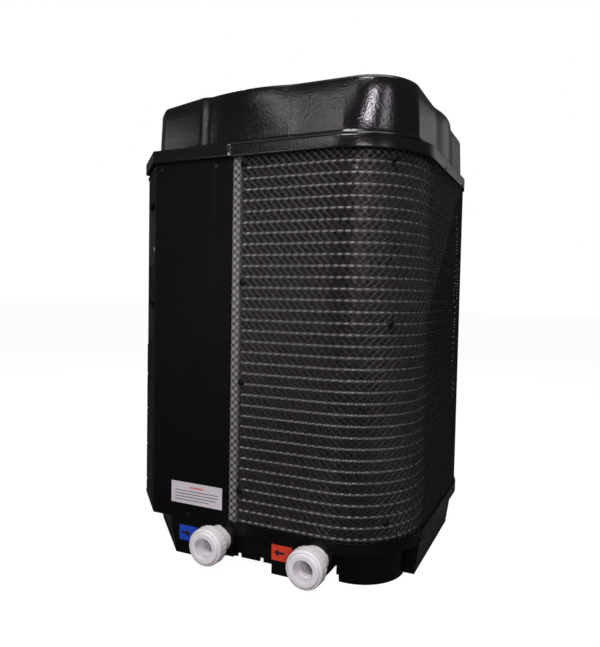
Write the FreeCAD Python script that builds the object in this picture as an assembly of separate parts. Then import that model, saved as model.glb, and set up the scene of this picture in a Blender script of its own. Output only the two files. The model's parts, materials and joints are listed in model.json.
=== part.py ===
import FreeCAD, Part
import math
import os
from FreeCAD import Vector

# Pool heat pump, vertical cabinet with a top fan, millimetres, +Z up.
# Origin: middle of the square cabinet on the plane that the base stands on.
# Front is -Y (service panel on the left of it), right is +X.

# ---- cabinet plan ----
cabinet_side = 816.0
corner_radius = 210.0
chamfer_leg = 117.0            # the control corner, front left, is cut at 45 degrees
service_width = 234.0          # from the chamfer to where the coil guard starts

# ---- heights ----
ledge_bottom = 81.0
ledge_top = 110.0
ledge_overlap = 38.0          # how far the ledge runs on under each panel
rim_bottom = 1034.0
rim_top = 1066.0
cowl_top = 1197.0

# ---- base tray ----
tray_wall = 6.0
tray_floor_top = 102.0
tray_floor_thick = 5.0
base_seam = 0.3               # gap between the feet and the inner face of the ledge
base_chamfer_leg = 172.0
skirt_inset = 32.0
skirt_bottom = 20.0
apron_inset = 14.0
foot_inset = 6.0
foot_draft = 12.0
foot_depth = 190.0
foot_end_draft = 15.0
foot_left_end = -38.0
pad_past_edge = 19.0          # the left pad starts this far behind the side panel
foot_left_slope = 32.0
foot_left_flat = 21.0
foot_mid_start = 72.0
foot_mid_end = 198.0
foot_mid_rise = 43.0
foot_mid_slope = 34.0
notch_width = 11.0
notch_height = 10.0
notch_places = (-30.0, 34.0)
corner_foot_radius = 117.0
corner_foot_draft = 11.0
corner_foot_setback = 159.5
corner_foot_width = 171.0
side_pad_setback = 164.0
side_pad_back_setback = 256.0
side_pad_inset = 2.0
side_pad_draft = 14.0
side_pad_depth = 60.0
centre_boss_radius = 30.0
rib_reach = 200.0
rib_thick = 12.0
drain_hole_radius = 8.0
drain_x = -195.0
drain_inset = 100.0
drain_drop = 30.0
drain_spigot_radius = 9.5
drain_arm_radius = 11.5
drain_bore_radius = 6.5
drain_tip_inset = 8.0

# ---- panels and guard ----
panel_inset = 3.0
sheet = 1.5
panel_bottom = 96.0
panel_top = 1040.0
crease_from_edge = 54.0
crease_run = 6.0
crease_step = 1.5
panel_flange = 6.0
panel_screw_right = 191.0
panel_screw_left = 24.0
panel_screw_low = 117.0
guard_inset = 5.0
guard_thick = 2.5
guard_bottom = 110.3
clip_from_edge = 37.0
clip_end_heights = (195.0, 472.0, 722.0, 1015.0)
clip_bend_heights = (156.0, 629.0, 1011.0)
fascia_wall = 3.0

# ---- evaporator ----
coil_inset = 14.0
coil_depth = 44.0
coil_bottom = 102.0
coil_top = 1036.0
end_plate_setback = 19.0
tube_pitch = 27.2
tube_column_pitch = 22.0
tube_radius = 4.76
tube_first = 8.2
circuit_step = 3
circuit_first = 2

# ---- cowl ----
cowl_inset = 16.0
cowl_power = 4.5
cowl_wave = 8.0
cowl_lobes = 8
cowl_chamfer_inset = 32.2676
cowl_wall = 4.0
cowl_crown = 9.0
cowl_mouth_radius = 322.0
rim_wall = 3.0
rim_step = 3.0
coil_cap_width = 58.0
rim_lip = 2.0
rim_joggle = 4.0

# ---- fan, motor and guard grille ----
shroud_radius = 310.0
shroud_wall = 3.0
shroud_bottom = 1044.0
shroud_flange_width = 30.0
fan_radius = 298.0
fan_blades = 3
fan_hub_radius = 46.0
fan_hub_bottom = 1062.0
fan_hub_height = 36.0
blade_thick = 2.5
shaft_radius = 6.35
shaft_clearance = 0.05
motor_radius = 70.0
motor_drop = 13.0              # from the guard plate down to the motor's body
motor_length = 72.0
grille_wire = 2.5
grille_spoke = 3.0
grille_rings = 10
grille_spokes = 12
grille_plate_radius = 88.0
grille_plate_thick = 4.0

# ---- water unions ----
union_left_x = -80.0
union_right_x = 190.0
union_height = 61.0
socket_radius = 25.15          # takes a 50 mm pipe
socket_depth = 27.0
pipe_bore = 21.5
pipe_radius = 25.0
tail_radius = 40.5
tail_clearance = 0.4
tail_flange_radius = 43.2
tail_flange_thick = 6.0
tail_proud = 4.0
nut_radius = 48.0
nut_bore = 44.0
nut_length = 32.0
nut_shoulder = 5.0
nut_front = 66.0
nut_grips = 16
union_thread_radius = 43.6
union_collar_radius = 34.5
union_barrel_radius = 29.8
union_seat_gap = 0.3
locknut_radius = 34.5
locknut_thick = 10.0
oring_section = 2.6
oring_radius = 37.0
sleeve_radius = 30.0
sleeve_clearance = 0.5
sleeve_length = 18.0

# ---- water heat exchanger ----
tank_setback = 156.0
tank_radius = 90.0
tank_wall = 6.0
tank_top = 640.0
tank_lid_height = 40.0
water_in_height = 200.0
water_out_height = 560.0
elbow_radius = 32.0
helix_radius = 60.0
helix_tube = 8.0
helix_turn_half = 13
helix_bottom = 150.0
helix_rise = 30.0
helix_lead = 85.0

# ---- compressor ----
compressor_x = 130.0
compressor_y = 110.0
compressor_radius = 82.0
grommet_height = 12.0
compressor_height = 360.0
compressor_dome = 45.0
compressor_foot = 100.0
compressor_foot_thick = 4.0
compressor_bolt_pitch = 160.0
grommet_radius = 15.0
grommet_bolt = 4.0

# ---- refrigerant pipes ----
discharge_radius = 8.0
suction_radius = 11.0
liquid_radius = 6.0
capillary_radius = 2.4
drier_radius = 22.0
drier_length = 130.0

# ---- fastener sizes ----
screw_head = 5.0
screw_head_thick = 2.6
screw_shank = 2.0
screw_fit = 0.05
washer_radius = 9.0
washer_thick = 2.0

# ---- control fascia ----
fascia_screw_x = 74.0
fascia_margin = 2.5
pocket_half = 62.0
display_pocket = (769.0, 935.0)
wiring_pocket = (555.0, 667.0)
display_pocket_depth = 17.0
wiring_pocket_depth = 61.0
block_edges = (103.0, 147.0, 252.0, 356.0, 456.0, 546.0)
block_gap = 6.0
block_half = 68.0
block_proud = 3.0
case_half = 50.0
case_bottom = 785.0
case_top = 921.0
gland_x = 25.0
gland_z = 600.0
gland_thread = 10.0
gland_bore = 6.5
plug_radius = 11.0
case_depth = 30.0
case_wall = 2.0
board_thick = 1.6
bezel_margin = 4.0
bezel_thick = 4.0
lens_half = 40.0
lens_bottom = 850.0
lens_top = 905.0
button_places = (-30.0, 0.0, 30.0)
button_height = 815.0
button_radius = 7.0
button_gap = 0.4
button_flange_radius = 8.8
button_flange = 1.5
button_proud = 1.6
button_travel = 1.0

# ---- electrical parts ----
box_half = 64.0
box_depth = 96.0
box_top = 1010.0
box_shelf = 480.0
contactor_half = 26.0
contactor_depth = 58.0
contactor_bottom = 690.0
contactor_top = 750.0
armature_half = 9.0
armature_depth = 10.0
armature_proud = 1.0
armature_travel = 2.5
armature_gap = 0.4
armature_bottom = 706.0
armature_top = 734.0
capacitor_bottom = 481.5
transformer_bottom = 900.0
terminal_bottom = 630.0

# ---- small pieces of the fan group ----
stud_radius = 3.0
stud_circle = 38.0
shaft_drop = 27.0
blade_flatten = 0.75
clip_width = 7.5
clip_half = 12.0
clip_height = 8.0

# ---- small pieces of the water and refrigerant sides ----
pipe_socket = 20.0
bond_gap = 0.1
grip_radius = 6.0
grip_depth = 1.2
grip_margin = 4.0
pipe_bend = 24.0
pipe_seat = 0.05               # a pipe starts this far off the axis of the pipe it joins
drier_neck = 12.0
distributor_setback = 83.0
distributor_bottom = 176.0
distributor_height = 24.0
valve_inset = 25.0
valve_half = 13.0
capillary_circle = 9.0
header_setback = 53.0
suction_height = 330.0
stub_offset = 40.0
stub_radius = 10.0
stub_height = 55.0
cover_depth = 24.0
switch_neck = 8.0

# ---- labels ----
label_thick = 0.4
label_left = 61.0
label_width = 158.0
label_bottom = 136.0
label_height = 57.0
inlet_label_x = -205.0
outlet_label_x = 72.0
water_label_width = 56.0
water_label_bottom = 36.0
water_label_height = 40.0

half = cabinet_side / 2
tray_inset = panel_inset + crease_step + sheet     # edge of the tray floor, behind the panels
front = -half
service_edge = -half + chamfer_leg + service_width
corner_foot_centre = half - corner_foot_setback
corner_foot_start = half - corner_foot_width
side_pad_start = side_pad_setback - half
side_pad_end = half - side_pad_back_setback
drain_y = half - drain_inset
cowl_half = half - cowl_inset
cowl_chamfer_distance = (cabinet_side - chamfer_leg) / math.sqrt(2) - cowl_chamfer_inset
motor_top = cowl_top - motor_drop
motor_bottom = motor_top - motor_length
shaft_top = cowl_top - shaft_drop
tank_y = front + tank_setback
distributor_y = service_edge - distributor_setback
valve_x = valve_inset - half
header_y = service_edge - header_setback
fascia_half = (chamfer_leg - panel_inset * (2 - math.sqrt(2))) / math.sqrt(2)
up = Vector(0, 0, 1)
origin = Vector(0, 0, 0)


# ---------- solids ----------

def box(x0, x1, y0, y1, z0, z1):
    return Part.makeBox(x1 - x0, y1 - y0, z1 - z0, Vector(x0, y0, z0))


def rod(start, radius, length, axis=up):
    return Part.makeCylinder(radius, length, Vector(*start), Vector(*axis))


def hollow_rod(start, outer, inner, length, axis=up):
    return rod(start, outer, length, axis).cut(rod(start, inner, length, axis))


def joined(shapes):
    """One solid from shapes that touch or cross."""
    return shapes[0].multiFuse(shapes[1:]).removeSplitter()


def cut_all(shape, tools):
    """The shape with every tool taken out of it."""
    return shape.cut(Part.Compound(tools)) if tools else shape


def polygon_prism(points, z0, z1):
    """Upright prism on a plan polygon."""
    ring = [Vector(x, y, z0) for x, y in points]
    face = Part.Face(Part.makePolygon(ring + ring[:1]))
    return face.extrude(Vector(0, 0, z1 - z0))


def front_prism(points, y0, y1):
    """Prism along Y on a polygon given as x and z."""
    ring = [Vector(x, y0, z) for x, z in points]
    face = Part.Face(Part.makePolygon(ring + ring[:1]))
    return face.extrude(Vector(0, y1 - y0, 0))


def inset_polygon(points, insets):
    """Plan polygon (counter-clockwise) with each edge moved inwards by its own amount."""
    lines = []
    for (x0, y0), (x1, y1), inset in zip(points, points[1:] + points[:1], insets):
        length = math.hypot(x1 - x0, y1 - y0)
        nx, ny = -(y1 - y0) / length, (x1 - x0) / length
        lines.append((nx, ny, nx * x0 + ny * y0 + inset))
    corners = []
    for (a, b, c), (d, e, f) in zip(lines[-1:] + lines[:-1], lines):
        det = a * e - b * d
        corners.append(((c * e - b * f) / det, (a * f - c * d) / det))
    return corners


def drafted_block(points, drafts, z0, z1):
    """Block that is the polygon at z1 and is narrower by each edge's draft at z0."""
    rings = []
    for z, outline_points in ((z0, inset_polygon(points, drafts)), (z1, points)):
        ring = [Vector(x, y, z) for x, y in outline_points]
        rings.append(Part.makePolygon(ring + ring[:1]))
    return Part.makeLoft(rings, True, True)


# ---------- cabinet outline ----------

def outline(inset, z, leg=chamfer_leg):
    """Closed plan outline: square, three round corners, one 45 degree chamfer, moved inwards."""
    h = half - inset
    r = corner_radius - inset
    cut = leg - inset * (2 - math.sqrt(2))
    q = r * math.sqrt(0.5)

    def line(a, b):
        return Part.LineSegment(Vector(*a, z), Vector(*b, z)).toShape()

    def corner(cx, cy, a, b):
        middle = Vector(cx * (h - r + q), cy * (h - r + q), z)
        return Part.Arc(Vector(*a, z), middle, Vector(*b, z)).toShape()

    edges = [
        line((-h + cut, -h), (h - r, -h)),
        corner(1, -1, (h - r, -h), (h, -h + r)),
        line((h, -h + r), (h, h - r)),
        corner(1, 1, (h, h - r), (h - r, h)),
        line((h - r, h), (-h + r, h)),
        corner(-1, 1, (-h + r, h), (-h, h - r)),
        line((-h, h - r), (-h, -h + cut)),
        line((-h, -h + cut), (-h + cut, -h)),
    ]
    return Part.Wire(edges)


def plate(inset, z0, z1, leg=chamfer_leg):
    return Part.Face(outline(inset, z0, leg)).extrude(Vector(0, 0, z1 - z0))


def band(outer, inner, z0, z1, leg=chamfer_leg):
    """Wall that follows the cabinet outline between two insets."""
    return plate(outer, z0, z1, leg).cut(plate(inner, z0, z1, leg))


def service_corner(edge, z0, z1):
    """Room of the control corner: everything on its side of the two panel edges."""
    reach = coil_cap_width + coil_inset
    depth = half - reach
    turn = depth - (2 * half - chamfer_leg) + reach * math.sqrt(2)
    far = half + 100
    plan = [(-far, -far), (edge, -far), (edge, -depth), (turn, -depth), (-depth, turn),
            (-depth, edge), (-far, edge)]
    return polygon_prism(plan, z0, z1)


def across_corner(shape):
    """The same piece on the other side of the control corner."""
    return shape.mirror(origin, Vector(1, -1, 0))


def quarter_turn(shape, quarters):
    turned = shape.copy()
    turned.rotate(origin, up, 90 * quarters)
    return turned


def to_chamfer(shape):
    """Place a piece drawn with the chamfer face as its front plane y = 0, x across it."""
    placed = shape.copy()
    middle = -half + chamfer_leg / 2
    placed.rotate(origin, up, -45)
    placed.translate(Vector(middle, middle, 0))
    return placed


# ---------- pipes ----------

def pipe_path(points, bend):
    """Straight runs joined by tangent arcs of one bend radius."""
    corners = [Vector(*p) for p in points]
    edges = []
    start = corners[0]
    for before, here, after in zip(corners, corners[1:], corners[2:]):
        a = (here - before).normalize()
        b = (after - here).normalize()
        turn = a.getAngle(b)
        if turn < 1e-6:
            continue
        reach = bend * math.tan(turn / 2)
        enter = here - a * reach
        leave = here + b * reach
        centre = enter + (b - a * a.dot(b)).normalize() * bend
        middle = centre + (here - centre).normalize() * bend
        edges.append(Part.LineSegment(start, enter).toShape())
        edges.append(Part.Arc(enter, middle, leave).toShape())
        start = leave
    edges.append(Part.LineSegment(start, corners[-1]).toShape())
    return Part.Wire(edges)


def pipe(points, bend, outer, inner=None):
    """Bent pipe; solid where no bore is given."""
    path = pipe_path(points, bend)
    start = Vector(*points[0])
    heading = Vector(*points[1]) - start

    def swept(radius):
        section = Part.Wire(Part.makeCircle(radius, start, heading))
        return path.makePipeShell([section], True, True)

    return swept(outer) if inner is None else swept(outer).cut(swept(inner))


# ---------- fasteners ----------

def screw(place, axis, grip, head=screw_head, thick=screw_head_thick):
    """Pan head on the surface at place, shank of length grip along axis."""
    direction = Vector(*axis)
    seat = Vector(*place)
    top = Part.makeCylinder(head, thick, seat - direction * thick, direction)
    shank = Part.makeCylinder(screw_shank, grip, seat, direction)
    return joined([top, shank])


def screw_holes(places, grip, radius=screw_shank + screw_fit):
    """Cylinders that clear the shanks of screws at (place, axis) pairs."""
    holes = []
    for place, axis in places:
        direction = Vector(*axis)
        start = Vector(*place) - direction * screw_head_thick
        holes.append(Part.makeCylinder(radius, grip + 2 * screw_head_thick, start, direction))
    return holes


right_in = (-1.0, 0.0, 0.0)
front_in = (0.0, 1.0, 0.0)
tank_x = (union_left_x + union_right_x) / 2
union_wall = front + foot_inset
union_back = union_wall + tray_wall + locknut_thick + 8
compressor_bottom = tray_floor_top + grommet_height + compressor_foot_thick
pan_room = (tray_floor_top - tray_floor_thick, tray_floor_top)
net_bottom = guard_bottom
net_top = rim_bottom - 0.5
coil_end_edge = service_edge + end_plate_setback
tube_columns = (coil_inset + tube_column_pitch / 2, coil_inset + 1.5 * tube_column_pitch)
tube_rows = int((coil_top - coil_bottom) / tube_pitch)
tube_heights = [coil_bottom + tube_first + row * tube_pitch for row in range(tube_rows)]
circuits = list(range(circuit_first, tube_rows // 2, circuit_step))


# ---------- base ----------

def front_foot_plan(x0, x1):
    y0 = front + foot_inset
    return [(x0, y0), (x1, y0), (x1, y0 + foot_depth), (x0, y0 + foot_depth)]


def left_foot_plan():
    """Foot under the service panel, with the base's own wider chamfer on its left."""
    y0 = front + foot_inset
    x0 = -half + base_chamfer_leg
    x1 = foot_left_end
    return [(x0, y0), (x1, y0), (x1, y0 + foot_depth), (y0, y0 + foot_depth), (y0, x0)]


def drafted_pair(points, drafts):
    """Block from the ground to the tray floor, and the hollow that leaves its upright walls."""
    inner = inset_polygon(points, [tray_wall] * len(points))
    top = pan_room[0]
    return [drafted_block(points, drafts, 0, top), drafted_block(inner, drafts, -1, top + 1)]


def control_foot():
    """L-shaped foot under both panels: two equal legs that meet at the control corner."""
    leg = drafted_pair(left_foot_plan(), (0, 0, 0, foot_draft, foot_end_draft))
    return [joined([solid, across_corner(solid)]) for solid in leg]


def middle_foot():
    return drafted_pair(front_foot_plan(foot_mid_start, foot_mid_end + foot_mid_slope), (0, 0, 0, 0))


def foot_slopes():
    """Room under the inner ends of the front feet, which rise in a slope."""
    deep = (front - 1, front + foot_inset + foot_depth + 1)
    flat = foot_left_end - foot_left_flat
    left = front_prism([(flat - foot_left_slope, -1), (foot_left_end + 1, -1),
                        (foot_left_end + 1, skirt_bottom), (flat, skirt_bottom)], *deep)
    end = foot_mid_end + foot_mid_slope
    middle = front_prism([(foot_mid_end, -1), (end + 1, -1), (end + 1, foot_mid_rise)], *deep)
    return [left, across_corner(left), middle]


def apron():
    """Raised wall between the two front feet, with its two small notches."""
    y0 = front + apron_inset
    wall = box(foot_left_end, foot_mid_start, y0, y0 + tray_wall, skirt_bottom, pan_room[0])
    notches = [
        box(x, x + notch_width, y0 - 1, y0 + tray_wall + 1, skirt_bottom - 1, skirt_bottom + notch_height)
        for x in notch_places
    ]
    return cut_all(wall, notches)


def corner_foot():
    """Quarter-round foot under the front right corner."""
    c = corner_foot_centre
    height = pan_room[0]

    def quarter(wall):
        r = corner_foot_radius - wall
        cone = Part.makeCone(r, r + corner_foot_draft, height, Vector(c, -c, 0))
        keep = box(corner_foot_start + wall, half, -half, -c - wall, 0, height)
        return cone.common(keep)

    return [quarter(0), quarter(tray_wall)]


def side_pad(end):
    """Long pad under the right side, as far back as end."""
    x1 = half - side_pad_inset
    x0 = x1 - side_pad_depth
    plan = [(x0, side_pad_start), (x1, side_pad_start), (x1, end), (x0, end)]
    return drafted_pair(plan, (0, side_pad_draft, 0, 0))


def feet():
    """Every foot and pad as its outer block and its hollow, the one under both panels first."""
    corner = corner_foot()
    pad = side_pad(side_pad_end)
    left_pad = side_pad(-max(service_edge + pad_past_edge, foot_left_end))
    return [
        control_foot(), middle_foot(), corner, pad,
        [quarter_turn(solid, 1) for solid in corner], [quarter_turn(solid, 2) for solid in corner],
        [quarter_turn(solid, 1) for solid in pad], [quarter_turn(solid, 2) for solid in left_pad],
    ]


def skirt(blocks):
    """Wall set back under the tray, where neither a foot nor the apron closes the base."""
    wall = band(skirt_inset, skirt_inset + tray_wall, skirt_bottom, pan_room[0], base_chamfer_leg)
    behind_apron = box(foot_left_end, foot_mid_start, front, front + skirt_inset + tray_wall + 1,
                       0, pan_room[0])
    return cut_all(wall, blocks + [behind_apron]).Solids


def centre_ribs():
    """Boss and crossed ribs that carry the middle of the tray floor."""
    r = rib_reach
    w = rib_thick / 2
    return [rod((0, 0, 0), centre_boss_radius, pan_room[0]), box(-r, r, -w, w, 0, pan_room[0]),
            box(-w, w, -r, r, 0, pan_room[0])]


def union_axes():
    return [(x, union_height) for x in (union_left_x, union_right_x)]


def riser_places():
    return [(x, tank_y) for x in (union_left_x, union_right_x)]


def compressor_bolt_places():
    p = compressor_bolt_pitch / 2
    return [(compressor_x + dx, compressor_y + dy) for dx in (-p, p) for dy in (-p, p)]


def base_screw_places():
    """Screws through the ledge, one near each end of each straight side."""
    height = (ledge_bottom + ledge_top) / 2 + 7
    along = half - corner_radius - 20
    right = [((half, y, height), right_in) for y in (-along / 2.6, along)]
    back = [((x, half, height), (0.0, -1.0, 0.0)) for x in (-along, along)]
    left = [((-half, y, height), (1.0, 0.0, 0.0)) for y in (along, 0.0)]
    return right + back + left


def union_room():
    """Room that barrels, collars and locknuts of the unions take out of the base."""
    inside = union_wall + tray_wall
    room = []
    for x, z in union_axes():
        room.append(rod((x, front - 5, z), union_barrel_radius + 0.2, skirt_inset + 20, (0, 1, 0)))
        room.append(rod((x, front - 1, z), union_collar_radius + 1, foot_inset + 1, (0, 1, 0)))
        room.append(rod((x, inside, z), locknut_radius + union_seat_gap, locknut_thick, (0, 1, 0)))
    return room


def tray_ledge(inner=tray_inset + tray_wall):
    """Lip round the tray that the net stands on and the panels hang over."""
    ledge = band(0, inner, ledge_bottom, ledge_top)
    ledge = ledge.cut(service_corner(service_edge - ledge_overlap, ledge_bottom - 1, ledge_top + 1))
    return ledge.cut(service_corner(service_edge, panel_bottom - 0.5, ledge_top + 1))


def base_tray():
    z0, z1 = pan_room
    floor = plate(tray_inset, z0, z1, base_chamfer_leg)
    upstand = band(tray_inset, tray_inset + tray_wall, z0, ledge_top, base_chamfer_leg)
    upstand = upstand.cut(service_corner(service_edge, z1, ledge_top + 1))
    holes = union_room()
    holes += [rod((x, y, z0 - 1), pipe_radius + 1, tray_floor_thick + 2) for x, y in riser_places()]
    holes += [rod((x, y, z0 - 1), grommet_bolt, tray_floor_thick + 2)
              for x, y in compressor_bolt_places()]
    holes.append(rod((drain_x, drain_y, z0 - 1), drain_hole_radius, tray_floor_thick + 2))
    holes += screw_holes(base_screw_places(), tray_inset + tray_wall)
    return cut_all(joined([floor, tray_ledge(), upstand]), holes)


def base_room():
    """Room that the unions, the ledge and the drain take out of the walls under the tray."""
    room = union_room() + foot_slopes() + [tray_ledge(tray_inset + tray_wall + base_seam)]
    room.append(rod((drain_x, drain_y, pan_room[0] - drain_drop), drain_arm_radius + 0.2, half,
                    (0, 1, 0)))
    return room


def panel_foot():
    """Foot under both panels, in two mirrored halves that meet on the middle of the cut corner."""
    block, hollow = feet()[0]
    foot = cut_all(block.cut(hollow), base_room())
    side = polygon_prism([(-half, -half), (0, 0), (-half, 0)], -1, pan_room[0] + 1)
    return Part.Compound([foot.cut(side), foot.common(side)])


def base_feet():
    """The other walls between tray and ground: feet, pads, skirt, apron and middle ribs."""
    pairs = feet()
    walls = [block.cut(hollow) for block, hollow in pairs[1:]]
    walls += skirt([block for block, hollow in pairs])
    walls += [apron(), joined(centre_ribs())]
    room = base_room()
    return Part.Compound([solid for wall in walls for solid in cut_all(wall, room).Solids])


def drain_spigot():
    """Elbow under the condensate hole with a hose spigot that points out of the back."""
    z = pan_room[0] - drain_drop
    skirt_face = half - skirt_inset + 2
    tip = half - drain_tip_inset
    drop = rod((drain_x, drain_y, z), drain_arm_radius + 1, drain_drop)
    arm = rod((drain_x, drain_y, z), drain_arm_radius, skirt_face - drain_y, (0, 1, 0))
    spigot = rod((drain_x, skirt_face, z), drain_spigot_radius, tip - skirt_face, (0, 1, 0))
    knee = Part.makeSphere(drain_arm_radius + 1, Vector(drain_x, drain_y, z))
    shape = joined([drop, arm, spigot, knee])
    shape = shape.cut(rod((drain_x, drain_y, z), drain_bore_radius, tip + 1 - drain_y, (0, 1, 0)))
    return shape.cut(rod((drain_x, drain_y, z), drain_bore_radius + 0.5, drain_drop + 1))


# ---------- coil and its guard ----------

def coil_cut(edge):
    return service_corner(edge, coil_bottom - 1, coil_top + 1)


def evaporator_fins():
    """Finned block bent round three corners, from one end plate to the other."""
    block = band(coil_inset, coil_inset + coil_depth, coil_bottom, coil_top)
    return block.cut(coil_cut(coil_end_edge + sheet))


def end_plate():
    """Galvanised sheet at the front end of the coil: tube sheet and cover flange."""
    y0 = front + coil_inset
    web = box(coil_end_edge, coil_end_edge + sheet, y0, y0 + coil_depth, coil_bottom, coil_top)
    flange = box(service_edge, coil_end_edge + sheet, y0 - sheet, y0, coil_bottom, coil_top)
    plate_shape = joined([web, flange])
    holes = [rod((coil_end_edge - 1, front + inset, z), tube_radius, sheet + 2, (1, 0, 0))
             for inset in tube_columns for z in tube_heights]
    return cut_all(plate_shape, holes)


def return_bends(skip):
    """U-bends that join the tube rows in pairs at the front end of the coil."""
    bends = []
    leg = 4.0
    r = tube_pitch / 2
    for inset in tube_columns:
        for pair in range(tube_rows // 2):
            if pair in skip:
                continue
            z0 = tube_heights[2 * pair]
            z1 = z0 + tube_pitch
            x1 = coil_end_edge + sheet
            x0 = x1 - sheet - leg
            y = front + inset
            arc = Part.Arc(Vector(x0, y, z0), Vector(x0 - r, y, z0 + r), Vector(x0, y, z1)).toShape()
            path = Part.Wire([Part.LineSegment(Vector(x1, y, z0), Vector(x0, y, z0)).toShape(), arc,
                              Part.LineSegment(Vector(x0, y, z1), Vector(x1, y, z1)).toShape()])
            section = Part.Wire(Part.makeCircle(tube_radius, Vector(x1, y, z0), Vector(-1, 0, 0)))
            bends.append(path.makePipeShell([section], True, True))
    return Part.Compound(bends)


def clip_places():
    """Fasteners of the guard: a column at each end and one at the middle of each round corner."""
    surface = half - guard_inset
    turn = half - corner_radius
    bend = turn + (corner_radius - guard_inset) * math.sqrt(0.5)
    places = []
    for z in clip_end_heights:
        places += [((service_edge + clip_from_edge, -surface, z), front_in),
                   ((-surface, service_edge + clip_from_edge, z), (1.0, 0.0, 0.0))]
    for z in clip_bend_heights:
        places += [((sx * bend, sy * bend, z), (-sx * math.sqrt(0.5), -sy * math.sqrt(0.5), 0.0))
                   for sx, sy in ((1, -1), (1, 1), (-1, 1))]
    return places


def coil_guard():
    """Sheet of netting stretched round the coil."""
    net = band(guard_inset, guard_inset + guard_thick, net_bottom, net_top)
    net = net.cut(service_corner(service_edge + 1, net_bottom - 1, net_top + 1))
    return cut_all(net, screw_holes(clip_places(), guard_thick))


def guard_clips():
    grip = coil_inset - guard_inset
    clips = []
    for place, axis in clip_places():
        clips.append(screw(place, axis, grip, washer_radius, washer_thick))
    return Part.Compound(clips)


# ---------- panels of the control corner ----------

def service_panel():
    """Folded sheet: flat part, shallow crease, guard-side strip and a return flange."""
    x0 = -half + chamfer_leg + sheet
    x2 = service_edge - 1
    x1 = x2 - crease_from_edge
    y0 = front + panel_inset
    y1 = y0 + crease_step
    plan = [
        (x0, y0), (x1, y0), (x1 + crease_run, y1), (x2, y1), (x2, y1 + sheet),
        (x1 + crease_run, y1 + sheet), (x1, y0 + sheet), (x0, y0 + sheet),
    ]
    flange = box(x2 - sheet, x2, y1, y1 + panel_flange, tray_floor_top + 1, panel_top)
    return cut_all(joined([polygon_prism(plan, panel_bottom, panel_top), flange]),
                   screw_holes(panel_screw_places(), sheet + crease_step))


def panel_screw_places():
    left = -half + chamfer_leg
    y0 = front + panel_inset
    y1 = y0 + crease_step
    return [
        ((left + panel_screw_right, y1, panel_top - 26), front_in),
        ((left + panel_screw_left, y0, panel_top - 26), front_in),
        ((left + panel_screw_low, y0, panel_bottom + 15), front_in),
    ]


def fascia():
    """Moulded control fascia on the chamfer: display pocket, wiring pocket and raised blocks."""
    w = fascia_half - fascia_margin
    y0 = panel_inset
    y1 = y0 + fascia_wall
    shape = box(-w, w, y0, y1, panel_bottom, panel_top)
    shape = shape.fuse(pocket_box(display_pocket, 0, display_pocket_depth, fascia_wall))
    shape = shape.fuse(pocket_box(wiring_pocket, 0, wiring_pocket_depth, fascia_wall))
    shape = shape.cut(pocket_box(display_pocket, -1, display_pocket_depth - fascia_wall, 0))
    shape = shape.cut(pocket_box(wiring_pocket, -1, wiring_pocket_depth - fascia_wall, 0))
    for low, high in zip(block_edges, block_edges[1:]):
        z0 = low + block_gap / 2
        z1 = high - block_gap / 2
        section = [(-block_half, y0), (block_half, y0), (block_half - block_proud, y0 - block_proud),
                   (-block_half + block_proud, y0 - block_proud)]
        shape = shape.fuse(polygon_prism(section, z0, z1))
    cuts = [
        box(-case_half, case_half, y1, y1 + 60, case_bottom, case_top),
        rod((gland_x, 0, gland_z), gland_thread + 0.2, wiring_pocket_depth + 20, (0, 1, 0)),
        rod((-gland_x, 0, gland_z), plug_radius + 0.1, wiring_pocket_depth + 20, (0, 1, 0)),
    ]
    cuts += screw_holes(fascia_screw_places(), fascia_wall)
    return cut_all(shape, cuts).removeSplitter()


def pocket_box(span, y0, depth, grow):
    """Room of a pocket in the fascia, grown by its wall."""
    return box(-pocket_half - grow, pocket_half + grow, panel_inset + y0, panel_inset + depth,
               span[0] - grow, span[1] + grow)


def fascia_screw_places():
    return [((x, panel_inset, z), front_in) for x in (-fascia_screw_x, fascia_screw_x)
            for z in (panel_bottom + 12, panel_top - 20)]


def display_bezel():
    """Frame of the controller with its window and four button holes."""
    y1 = panel_inset + display_pocket_depth - fascia_wall
    y0 = y1 - bezel_thick
    w = pocket_half - bezel_margin
    shape = box(-w, w, y0, y1, display_pocket[0] + bezel_margin, display_pocket[1] - bezel_margin)
    cuts = [box(-lens_half, lens_half, y0 - 1, y1 + 1, lens_bottom, lens_top)]
    cuts += [rod((x, y0 - 1, button_height), button_radius + button_gap, bezel_thick + 2, (0, 1, 0))
             for x in button_places]
    return cut_all(shape, cuts)


def display_lens():
    y1 = panel_inset + display_pocket_depth - fascia_wall
    return box(-lens_half, lens_half, y1 - bezel_thick + 0.5, y1, lens_bottom, lens_top)


def button(x):
    """Round push button with a flange that holds it behind the bezel."""
    y1 = panel_inset + display_pocket_depth - fascia_wall
    face = y1 - bezel_thick - button_proud
    stem = rod((x, face, button_height), button_radius, y1 + button_gap - face, (0, 1, 0))
    flange = rod((x, y1 + button_gap, button_height), button_flange_radius, button_flange, (0, 1, 0))
    return joined([stem, flange])


def controller_case():
    """Back shell of the controller, open towards the bezel, with its circuit board shelf."""
    y0 = panel_inset + display_pocket_depth - fascia_wall
    w = case_half - 0.2
    outer = box(-w, w, y0, y0 + case_depth, case_bottom + 0.2, case_top - 0.2)
    inner = box(-w + case_wall, w - case_wall, y0 - 1, y0 + case_depth - case_wall,
                case_bottom + 0.2 + case_wall, case_top - 0.2 - case_wall)
    return outer.cut(inner)


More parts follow.
